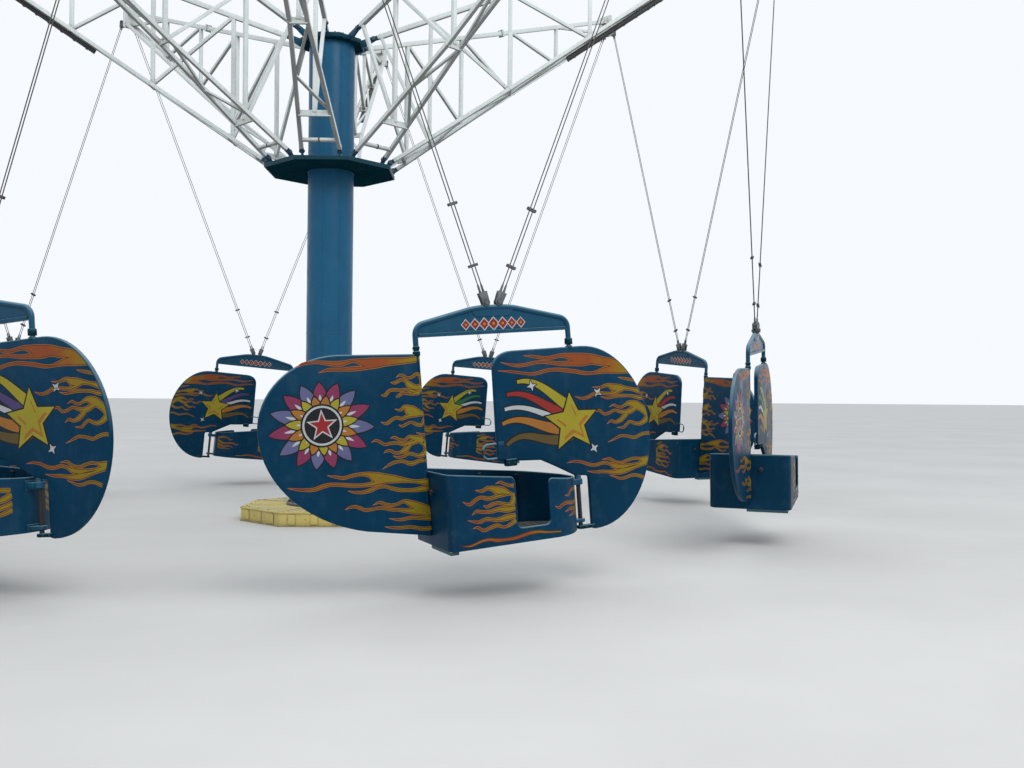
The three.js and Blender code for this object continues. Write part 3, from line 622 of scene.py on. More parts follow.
def platform():
    shape = Shape("yellow")
    top, rim = PLATFORM_HEIGHT, PLATFORM_RADIUS * math.cos(STEP / 2)
    shape.plate(octagon(PLATFORM_RADIUS - 0.012), 0.008, top - 0.012, 0.004)
    shape.plate(octagon(PLATFORM_RADIUS), top - 0.02, top, 0.004, 3)
    shape.plate(octagon(PLATFORM_RADIUS), 0, 0.012, 0.003)
    for _ in shape.around(8):
        shape.bead([seam(BEARING_FOOT_RADIUS + 0.03, top), seam(rim * 0.985, top)], 0.005, step=0.02)
        for y in (-0.28, 0, 0.28):
            shape.block((0.012, 0.09, 0.13), (rim - 0.008, y, 0.088), 0.003)
        for y in (-0.33, -0.11, 0.11, 0.33):
            shape.bolt((rim - 0.07, y, top), Z, 0.009)
            shape.bolt((rim - 0.012, y, 0.09), X, 0.008)
    put("base_platform", shape.data("platform_look"), "base")


def slewing_bearing():
    shape = Shape("bearing")
    foot = PLATFORM_HEIGHT + SEAT_GAP
    top, base, drum = foot + BEARING_HEIGHT, BEARING_FOOT_RADIUS, BEARING_RADIUS
    shape.lathe([
        (base - 0.003, foot), (base, foot + 0.003), (base, foot + 0.027), (base - 0.003, foot + 0.03),
        (drum - 0.012, foot + 0.03), (drum - 0.02, foot + 0.045), (drum - 0.02, top - 0.075),
        (drum, top - 0.07), (drum, top - 0.04), (drum - 0.016, top - 0.036), (drum - 0.016, top - 0.03),
        (drum, top - 0.026), (drum, top - 0.004), (drum - 0.004, top),
    ], 72)
    rib = [(x, foot + z) for x, z in ((0.4, 0.028), (0.525, 0.028), (0.525, 0.045), (0.41, 0.16))]
    for k in shape.around(16, 0.5):
        ribbed = k % 2 == 0
        if ribbed:
            shape.upright(rib, 0.008, 0.002)
        shape.use("bolt")
        shape.bolt((0.5, 0.045 if ribbed else 0, foot + 0.03), Z, 0.014)
        shape.bolt((drum - 0.002, 0, top - 0.055), X, 0.006, washer=False)
        shape.use("bearing")
    put("base_bearing", shape.data("bearing_look"), "base")


def mast():
    shape = Shape("mast")
    foot = PLATFORM_HEIGHT + BEARING_HEIGHT + 2 * SEAT_GAP
    flange = foot + FLANGE_HEIGHT
    shape.lathe([
        (FLANGE_RADIUS - 0.004, foot), (FLANGE_RADIUS, foot + 0.004), (FLANGE_RADIUS, flange - 0.004),
        (FLANGE_RADIUS - 0.004, flange), (MAST_RADIUS + 0.006, flange),
        *((MAST_RADIUS, z) for z in (flange + 0.008, 2.2, LOWER_PLATE_BOTTOM - 0.07, 5.5, MAST_TOP)),
    ], 96)
    shape.ring(MAST_RADIUS, LOWER_PLATE_BOTTOM - 0.004, 0.005)
    for angle in (-101, -58, 79, 166):
        with shape.at(turn(math.radians(angle))):
            shape.bead([(MAST_RADIUS, 0, flange), (MAST_RADIUS, 0, MAST_TOP - 0.1)], 0.003, step=0.03)
    for z in (2.46, 4.9):
        shape.ring(MAST_RADIUS, z, 0.003)
    shape.ring(MAST_RADIUS + 0.004, flange, 0.009)
    rib = ((0.295, -0.002), (0.4, -0.002), (0.4, 0.015), (0.312, 0.16), (0.295, 0.16))
    for k in shape.around(24, 0.5):
        shape.use("bolt")
        shape.bolt((FLANGE_RADIUS - 0.035, 0, flange), Z, 0.012)
        shape.use("mast")
        if k % 3 == 1:
            shape.upright([(x, flange + z) for x, z in rib], 0.007, 0.002)
    put("mast", shape.data("mast_look"), "head")


# Hub plates.

def cross_pin(shape, axis, half, radius):
    """A pin through a fork, with a head, a washer and a split pin at its end."""
    shape.use("bolt")
    end = 2 * half
    with shape.at(aim(axis * -half, axis)):
        shape.lathe([
            (radius * 1.5, 0), (radius * 1.7, 0.003), (radius * 1.7, 0.009), (radius, 0.009),
            (radius, end - 0.003), (radius * 0.8, end),
        ], 14)
        shape.lathe([(radius * 1.55, end - 0.014), (radius * 1.55, end - 0.011)], 14)
        shape.tube([(-radius * 2, 0, end - 0.006), (radius * 2, 0.003, end - 0.006)], 0.0018, 6)


def lower_hub():
    shape = Shape("hub")
    low, high = LOWER_PLATE_BOTTOM, LOWER_PLATE_BOTTOM + LOWER_PLATE_THICKNESS
    edge, half = LOWER_PLATE_CORNER * math.cos(STEP / 2), LOWER_PLATE_CORNER * math.sin(STEP / 2)
    rim = [(edge - 0.016, 0.007 - half), (edge, -half), (edge, half), (edge - 0.016, half - 0.007)]
    lug = [(LOWER_LUG_X - 0.08, high - 0.005), (LOWER_LUG_X - 0.005, high - 0.005)]
    lug += arc((LOWER_LUG_X, lower(LOWER_LUG_X).z), HUB_LUG_RADIUS, 0, math.pi, 12)
    shape.plate(octagon(LOWER_PLATE_CORNER - 0.01), low + 0.01, high - 0.004, 0.002)
    for _ in shape.around(8):
        # The plate's edge in the lighter copy of the hub's blue, a painted highlight.
        shape.use("hub_highlight")
        shape.plate(rim, low, high, 0.002)
        shape.use("hub")
        for z in (low + 0.01, high - 0.003):
            shape.bead([seam(MAST_RADIUS + 0.005, z), seam(edge - 0.02, z)], 0.0025, step=0.02)
        shape.use("trim")
        for y in (-LOWER_ROOT_Y, LOWER_ROOT_Y):
            shape.upright(lug, HUB_LUG_THICKNESS / 2, 0.003, 2, shift((0, y, 0)))
            foot = [Vector((LOWER_LUG_X - 0.043, y, high)) + p.to_3d() for p in rectangle(0.074, 0.028)]
            shape.bead(foot, 0.005, loop=True)
        shape.use("hub")
    shape.ring(MAST_RADIUS + 0.003, high, 0.008, 80)
    put("hub_lower", shape.data("hub_lower_look"), "head")


def upper_hub():
    shape = Shape("hub")
    low = MAST_TOP + SEAT_GAP
    high = low + UPPER_PLATE_THICKNESS
    shape.plate(octagon(UPPER_PLATE_CORNER - 0.012), low, high - 0.01, 0.004, 2)
    # The top plate and its edge in the lighter copy of the hub's blue, a painted highlight.
    shape.use("hub_highlight")
    shape.plate(octagon(UPPER_PLATE_CORNER), low + 0.006, high, 0.004, 2)
    shape.use("hub")
    shape.plate(octagon(UPPER_PLATE_CORNER - 0.05), high - 0.002, high + 0.02, 0.003)
    shape.lathe([(0.16, high), (0.16, high + 0.05), (0.15, high + 0.055)], 40)
    head = arc((UPPER_ROOT_X, UPPER_ROOT_Z), HUB_LUG_RADIUS, -0.4, 0.75 * math.pi, 12)
    for _ in shape.around(8):
        shape.use("trim")
        shape.upright([(0.352, low), (0.44, low), *head, (0.352, high + 0.02)], HUB_LUG_THICKNESS / 2, 0.003, 2)
        shape.bead([(0.37, 0.014, high), (0.43, 0.014, high)], 0.005)
        shape.use("bolt")
        for y in (-0.09, 0.09):
            shape.bolt((0.355, y, high + 0.018), Z, 0.011)
        shape.use("hub")
    put("hub_upper", shape.data("hub_upper_look"), "head")


# Arms, in an arm's own frame: X outwards.

# Up, square to the lower chords.
LEAN = Vector((-LOWER_SLOPE, 0, 1)).normalized()


def chord_y(x):
    if x < KINK_X:
        return LOWER_ROOT_Y + (KINK_Y - LOWER_ROOT_Y) * (x - LOWER_ROOT_X) / (KINK_X - LOWER_ROOT_X)
    return KINK_Y + (CHORD_END_Y - KINK_Y) * (x - KINK_X) / (TIP_X - KINK_X)


def lower(x, side=0):
    return Vector((x, side * chord_y(x), LOWER_ROOT_Z + LOWER_SLOPE * (x - LOWER_ROOT_X)))


def upper(x):
    return Vector((x, 0, UPPER_ROOT_Z + UPPER_SLOPE * (x - UPPER_ROOT_X)))


def root_fork(shape, pin, slope):
    """Two cheeks on a hub lug, joined behind it by a block that carries the chord."""
    cheek = [(0.085, -0.025), (0.085, 0.025), *arc((0, 0), 0.028, math.pi / 2, 1.5 * math.pi, 8, 0.025)]
    with shape.at(shift(pin) @ turn(-math.atan(slope), "Y")):
        shape.use("trim")
        for y in (-0.0185, 0.0185):
            shape.upright(cheek, 0.006, 0.002, place=shift((0, y, 0)))
        shape.use("arm")
        shape.block((0.03, 0.05, 0.05), (0.07, 0, 0), 0.003)
        cross_pin(shape, Y, 0.036, 0.013)
        shape.use("arm")


def collar(shape, middle, along, up, width, height):
    """A weld bead around a bar's foot."""
    across, top = across_and_up(Vector(along).normalized(), up)
    corners = [middle + across * p.x + top * p.y for p in rectangle(width, height)]
    shape.bead(corners, 0.0045, loop=True, step=0.014)


def arm_truss(shape):
    """The chords with their root forks, and the posts and diagonals between them."""
    square = rectangle(CHORD_WIDTH, CHORD_WIDTH, 0.007, 3)
    pin = lower(LOWER_LUG_X)
    for side in (-1, 1):
        shape.sweep([lower(x, side) for x in (LOWER_ROOT_X, KINK_X, TIP_X - 0.01)], square)
        root_fork(shape, (pin.x, side * LOWER_ROOT_Y, pin.z), LOWER_SLOPE)
        kink = lower(KINK_X, side)
        collar(shape, kink, lower(TIP_X, side) - kink, Z, CHORD_WIDTH, CHORD_WIDTH)
    shape.beam(upper(UPPER_ROOT_X + 0.07), upper(TIP_X - 0.01), UPPER_CHORD_WIDTH, UPPER_CHORD_HEIGHT, Z, 0.008)
    root_fork(shape, upper(UPPER_ROOT_X), UPPER_SLOPE)
    feet = [lower(x) + LEAN * 0.012 for x in POST_X]
    for x, foot, after in zip(POST_X, feet, [*feet[1:], lower(TIP_X - 0.03)]):
        head = upper(x)
        shape.beam(foot, head, POST_DEPTH, POST_WIDTH, X, 0.007)
        for end in (head - Z * 0.037, foot + Z * 0.006):
            collar(shape, end, Z, X, POST_DEPTH, POST_WIDTH + 0.004)
        shape.beam(head, after, DIAGONAL_DEPTH, DIAGONAL_WIDTH)
        along = (after - head).normalized()
        collar(shape, head + along * 0.075, upper(TIP_X) - upper(UPPER_ROOT_X), Z, DIAGONAL_DEPTH, 0.06)
        collar(shape, after - along * 0.05, along, Z, DIAGONAL_DEPTH, DIAGONAL_WIDTH)
    shape.beam(upper(UPPER_ROOT_X + 0.095), feet[0], DIAGONAL_DEPTH, DIAGONAL_WIDTH)


def arm_floor(shape):
    """The rungs and the zigzag between the lower chords."""
    shape.tube([lower(FIRST_RUNG_X, -1), lower(FIRST_RUNG_X, 1)], 0.028, 18)
    for x in POST_X:
        half = chord_y(x)
        shape.block((0.03, 2 * half, 0.078), lower(x), 0.004)
        for y in (CHORD_WIDTH / 2 - half, half - CHORD_WIDTH / 2):
            for face in (-0.016, 0.016):
                shape.bead([lower(x) + Vector((face, y, z)) for z in (-0.034, 0.034)], 0.004)
    middle = POST_X[0] + 0.43 * (POST_X[1] - POST_X[0])
    runs = [(POST_X[0] + 0.05, middle), (middle, POST_X[1] - 0.05)]
    runs += [(start + 0.05, end - 0.05) for start, end in zip(POST_X[1:], (*POST_X[2:], TIP_X - 0.06))]
    for (start, end), side in zip(runs, (1, -1, 1, -1, 1)):
        inwards = Y * side * -0.01
        shape.beam(lower(start, side) + inwards, lower(end, -side) - inwards, 0.036, 0.03, LEAN, 0.004)
    shape.use("bolt")
    with shape.at(shift(lower(FIRST_RUNG_X)) @ UPRIGHT):
        shape.lathe([(0.028, -0.01), (0.032, -0.009), (0.032, 0.009), (0.028, 0.01)], 18, loop=True)
    shape.use("arm")


def arm_splice(shape):
    """Two bolted flanges in the upper chord."""
    with shape.at(shift(upper(3.28)) @ turn(-math.atan(UPPER_SLOPE), "Y")):
        for x in (-0.009, 0.009):
            shape.block((0.014, 0.1, 0.11), (x, 0, 0), 0.003)
        shape.use("bolt")
        for y in (-0.038, 0.038):
            for z in (-0.043, 0.043):
                for side in (1, -1):
                    shape.bolt((side * 0.016, y, z), X * side, 0.007)
        shape.use("arm")


def arm_tip(shape):
    """The tip plate with the two lugs that take the cables' pins."""
    with shape.at(shift((TIP_X, 0, (TIP_TOP + TIP_BOTTOM) / 2)) @ FACING_X):
        shape.plate(rectangle(TIP_WIDTH, TIP_TOP - TIP_BOTTOM, 0.03, 4), -0.01, 0.01, 0.003, 2)
    length = (PIN_RADIAL - TIP_X) / math.cos(STEP / 2)
    lug = [(-length, PIN_LUG_RADIUS), (-length, -PIN_LUG_RADIUS)]
    lug += arc((0, 0), PIN_LUG_RADIUS, -math.pi / 2, math.pi / 2, 14)
    web = [(-0.1, -0.004), (0, -0.004), (0, 0.1), (-0.02, 0.1)]
    for side in (-1, 1):
        place = shift((PIN_RADIAL, side * PIN_SIDE, PIN_Z)) @ turn(side * STEP / 2)
        shape.upright(lug, PIN_LUG_THICKNESS / 2, 0.002, 2, place)
        shape.upright(web, 0.005, 0.002, place=shift((TIP_X - 0.008, side * 0.05, PIN_Z + 0.12)))


def arms():
    shape = Shape("arm")
    for add in (arm_truss, arm_floor, arm_splice, arm_tip):
        add(shape)
    mesh = shape.data("arm_look")
    for k in CARS:
        put(f"arm_{k}", mesh, "head", turn((k - 1) * STEP))


def light_bars():
    """Long black lamp housings under every second arm, with a row of lamp domes on their lower face."""
    shape = Shape("black")
    slope = math.atan(LOWER_SLOPE)
    tilt = turn(-slope, "Y")
    length = (LIGHT_END - LIGHT_START) / math.cos(slope)
    middle = lower((LIGHT_START + LIGHT_END) / 2) - Z * (LIGHT_DROP - 0.02)
    section = [
        (-0.04, -0.006), (-0.028, -0.015), (0.028, -0.015), (0.04, -0.006), (0.04, 0.045), (-0.04, 0.045),
    ]
    with shape.at(shift(middle) @ tilt):
        with shape.at(FACING_X):
            shape.plate(bend(section, 0.006, 2, loop=True), -length / 2, length / 2, 0.003)
        for end in (-1, 1):
            shape.block((0.012, 0.084, 0.062), (end * (length / 2 - 0.004), 0, 0.015), 0.003)
        for k in range(1, LIGHT_PARTS):
            shape.block((0.012, 0.083, 0.063), (length * (k / LIGHT_PARTS - 0.5), 0, 0.015), 0.002)
        for k in range(LAMPS):
            with shape.at(aim((length * ((k + 0.5) / LAMPS - 0.5), 0, -0.014), -Z)):
                shape.lathe([(0.021, 0), (0.022, 0.004), (0.02, 0.006)], 16)
                shape.use("lens")
                shape.lathe([*arc((0, 0.005), 0.016, 0, 0.4 * math.pi, 4, 0.009), (0.002, 0.014)], 16)
                shape.use("black")
    away, along = Vector((math.sin(slope), 0, -math.cos(slope))), Vector((math.cos(slope), 0, math.sin(slope)))
    gap = 0.013 + SEAT_GAP
    for x in POST_X[2:]:
        start = lower(x) + away * gap
        end = start + away * (LIGHT_DROP * math.cos(slope) - gap - 0.03)
        for side in (Y * -0.014, Y * 0.014):
            shape.beam(start + side, end + side, 0.006, 0.05, along, 0.001)
        with shape.at(shift(start) @ tilt):
            shape.block((0.06, 0.05, 0.006), (0, 0, -0.0035), 0.002)
    mesh = shape.data("light_bar_look")
    for k in range(1, 5):
        put(f"light_bar_{k}", mesh, "head", turn(2 * (k - 1) * STEP))


# Cables, in a hung car's frame: X forwards, Y inboard, Z up from the line that it swings about.

def shackle(shape, place):
    """A heavy forged fork: two eyes on the pin, and a block that takes the rope ends."""
    cheek = [(-0.038, -0.088), (0.038, -0.088), *arc((0, 0.002), 0.034, -0.3, math.pi + 0.3, 10)]
    with shape.at(place):
        for x in (-0.02, 0.02):
            shape.upright(cheek, 0.009, 0.004, 2, shift((x, 0, 0)) @ turn(math.pi / 2))
        shape.block((0.056, 0.07, 0.034), (0, 0, -0.073), 0.008)
        cross_pin(shape, X, 0.043, 1.4 * PIN_RADIUS)
        shape.use("steel")


def cable_mesh(direction):
    shape = Shape("steel")
    span = PIN_RADIAL * math.sin(STEP / 2) - PIN_SIDE * math.cos(STEP / 2)
    high = X * direction * span
    eye = direction * EYE_SPACING / 2
    low = Vector((eye * math.cos(NOSE_UP), CAR_BALANCE, -EYE_DROP + eye * math.sin(NOSE_UP)))
    top = high - Z * FORK_EYE
    along = (low - top).normalized()
    foot = low - along * FORK_EYE
    shackle(shape, shift(high))
    lean = turn(-math.atan2(along.x, -along.z), "Y")
    shackle(shape, shift(low) @ lean @ turn(math.pi / 2) @ turn(math.pi, "X"))
    across = Vector((along.z, 0, -along.x)) * (ROPE_SPACING / 2)
    socket = [(0.009, 0), (0.011, 0.006), (0.011, 0.05), (0.0095, 0.06), (0.0095, 0.085), (0.0065, 0.11)]
    for side in (-1, 1):
        start, finish = top + across * side, foot + across * side
        shape.use("rope")
        run = [start.lerp(finish, k / ROPE_STEPS) for k in range(ROPE_STEPS + 1)]
        shape.tube(run, 0.8 * ROPE_RADIUS, 10)
        shape.use("steel")
        for point, way in ((start, along), (finish, -along)):
            with shape.at(aim(point, way)):
                shape.lathe(socket, 14)
                shape.lathe([(0.0125, 0.03), (0.0125, 0.036)], 6)
    for distance in (0.27, 0.8):
        with shape.at(shift(foot - along * distance) @ axes(along, Y, across.normalized())):
            shape.use("bolt")
            for y in (-0.009, 0.009):
                shape.block((0.024, 0.008, 0.085), (0, y, 0))
            for z in (-0.034, 0, 0.034):
                for side in (-1, 1):
                    shape.bolt((0, side * 0.013, z), Y * side, 0.005)
            shape.use("steel")
    return shape.data(f"cable_look_{direction}")


# Cars, in a car's own frame: X forwards, Y inboard, Z up from between the cable eyes.

# How far each layer of a flame is drawn in from the one below, and how far it is lifted.
LAYERS = ((0.0, 0.0), (0.0058, 0.0004), (0.0103, 0.0008))


def flat(half):
    """Lays paint on the two upright faces of a plate of this half thickness."""
    return lambda x, z, lift, side: Vector((x, side * (half + lift), z))


def straight(x):
    """Flames that end at the same x at every height."""
    return lambda z: x


def strand(points, margin, limit, steps=5):
    """Points left and right of a tongue of flame along (x, z, width) points, drawn in by a margin."""
    points = [Vector(p) for p in points]
    middle = points[:1]
    for k, (start, end) in enumerate(zip(points, points[1:])):
        before, after = points[max(k - 1, 0)], points[min(k + 2, len(points) - 1)]
        middle += bezier(start, start + (end - before) / 6, end - (after - start) / 6, end, steps)
    rows = []
    for k, here in enumerate(middle):
        before, after = neighbours(middle, k)
        along = (after - before).xy.normalized()
        across = Vector((-along.y, along.x)) * max(here.z / 2 - margin, THINNEST)
        rows.append([Vector((min(p.x, limit(p.y)), p.y)) for p in (here.xy - across, here.xy + across)])
    wide = [k for k, here in enumerate(middle) if here.z / 2 - margin > THINNEST]
    return rows[:wide[-1] + 2] if wide else []


def flames(shape, lay, tongues, limit, paints):
    """Tongues of flame on both sides of a piece, in layers of paint: an edge, a line and a core."""
    root, tip = tongues[0][0][0], min(point[0] for points in tongues for point in points)
    for paint, (margin, lift) in zip(paints, LAYERS):
        shape.use(paint)
        for k, points in enumerate(tongues):
            rows = strand(points, margin, limit)
            levels = [(root - row[0].x) / (root - tip) for row in rows]
            height = PAINT_LIFT + lift + k * TONGUE_STEP
            for side in (-1, 1):
                shape.strip([[lay(p.x, p.y, height, side) for p in row[::side]] for row in rows], levels)


def picture(shape, half, patches):
    """Flat patches of sign paint on both sides of a piece, each above the ones before it."""
    for k, (paint, outline) in enumerate(patches):
        shape.use(paint)
        points = [Vector(p) for p in outline]
        area = sum(a.x * b.y - a.y * b.x for a, b in zip(points, points[1:] + points[:1]))
        for side in (-1, 1):
            placed = shape.points((p.x, side * (half + PAINT_LIFT + k * PATCH_STEP), p.y) for p in points)
            shape.face(placed if area * side < 0 else placed[::-1])


def petal(middle, angle, start, end, width, steps=7):
    """A pointed petal that stands away from a middle point."""
    way = Vector((math.cos(angle), math.sin(angle)))
    side = Vector((-way.y, way.x))
    left, right = [], []
    for t in (k / steps for k in range(steps + 1)):
        half = width / 2 * math.sin(math.pi * (0.12 + 0.88 * t)) ** 0.8 if t < 1 else 0
        place = Vector(middle) + way * (start + (end - start) * t)
        left.append(place + side * half)
        right.append(place - side * half)
    return left + right[-2::-1]


def star(middle, outer, inner, points, angle):
    tips, notches = ngon(outer, points, angle, middle), ngon(inner, points, angle + math.pi / points, middle)
    return [point for pair in zip(tips, notches) for point in pair]


def sun_wheel(middle):
    """A wheel of petals around a disc with a star: the fin's picture."""
    patches = []
    petals, room_x, room_z = 15, 0.415, 0.335
    rings = ((0.13, 1.0, 0.105, ("magenta", "lavender")), (0.1, 0.68, 0.07, ("orange", "gold")))
    for ring, (start, reach, width, colours) in enumerate(rings):
        for k in range(petals):
            angle = math.tau * (k + 0.5 * ring) / petals + math.pi / 2
            end = reach / math.hypot(math.cos(angle) / room_x, math.sin(angle) / room_z)
            for paint, low, high, wide in (
                ("ink", start - 0.01, end + 0.014, width + 0.02), (colours[k % 2], start, end, width),
                ("white", start + 0.05, end * 0.72, width * 0.22),
            ):
                patches.append((paint, petal(middle, angle, low, high, wide)))
    for paint, radius in (("ink", 0.168), ("white", 0.154), ("ink", 0.138)):
        patches.append((paint, ngon(radius, 40, 0, middle)))
    for paint, outer, inner in (("white", 0.128, 0.052), ("red", 0.1, 0.04)):
        patches.append((paint, star(middle, outer, inner, 5, math.pi / 2)))
    return patches


def ribbon(start, first, second, end, wide, narrow, steps=20):
    """A ribbon along a curve, wide at its start."""
    middle = [Vector(start)] + bezier(start, first, second, end, steps)
    left, right = [], []
    for k, here in enumerate(middle):
        before, after = neighbours(middle, k)
        along = (after - before).normalized()
        side = Vector((-along.y, along.x)) * ((wide + (narrow - wide) * k / steps) / 2)
        left.append(here + side)
        right.append(here - side)
    return left + right[::-1]


def shooting_star(accent):
    """A star with a tail of ribbons: the rudder's picture."""
    middle = Vector((0.66, -1.06))
    patches = []
    for paint, rise, first, second, end, wide in (
        ("brown", -0.09, (0.42, -1.3), (0.25, -1.02), (0.03, -1.2), 0.1),
        ("orange", -0.03, (0.4, -1.16), (0.25, -0.92), (0.0, -1.02), 0.11),
        ("white", 0.02, (0.42, -1.02), (0.28, -0.85), (0.03, -0.9), 0.06),
        (accent, 0.07, (0.44, -0.96), (0.3, -0.74), (0.06, -0.78), 0.09),
        ("gold", 0.13, (0.5, -0.84), (0.36, -0.64), (0.16, -0.68), 0.1),
    ):
        start, end = middle + Vector((0, rise)), Vector(end)
        patches.append(("ink", ribbon(start, first, second, end, wide + 0.022, 0.05)))
        patches.append((paint, ribbon(start, first, second, end + Vector((0.01, 0)), wide, 0.028)))
    for paint, offset, outer, inner in (
        ("ink", (0, 0), 0.285, 0.135), ("gold", (0, 0), 0.258, 0.118),
        ("orange", (0.012, -0.012), 0.17, 0.078), ("gold", (0.004, 0.004), 0.14, 0.062),
    ):
        patches.append((paint, star(middle + Vector(offset), outer, inner, 5, 0.35)))
    for angle, place in ((0.2, (0.3, -0.72)), (0.9, (0.93, -0.82)), (0.5, (0.86, -1.3))):
        patches.append(("ink", star(place, 0.062, 0.026, 4, angle)))
        patches.append(("white", star(place, 0.046, 0.017, 4, angle)))
    return patches


def lozenges():
    """A row of red lozenges with pale borders: the hanger's band."""
    patches = []
    for k in range(-3, 4):
        for paint, grow in (("white", 1.0), ("red", 0.78), ("gold", 0.26)):
            size = (0.056 - 0.004 * abs(k)) * grow
            patches.append((paint, arc((k * 0.083, -0.178), size, 0, 1.5 * math.pi, 3, size * 1.1)))
    return patches


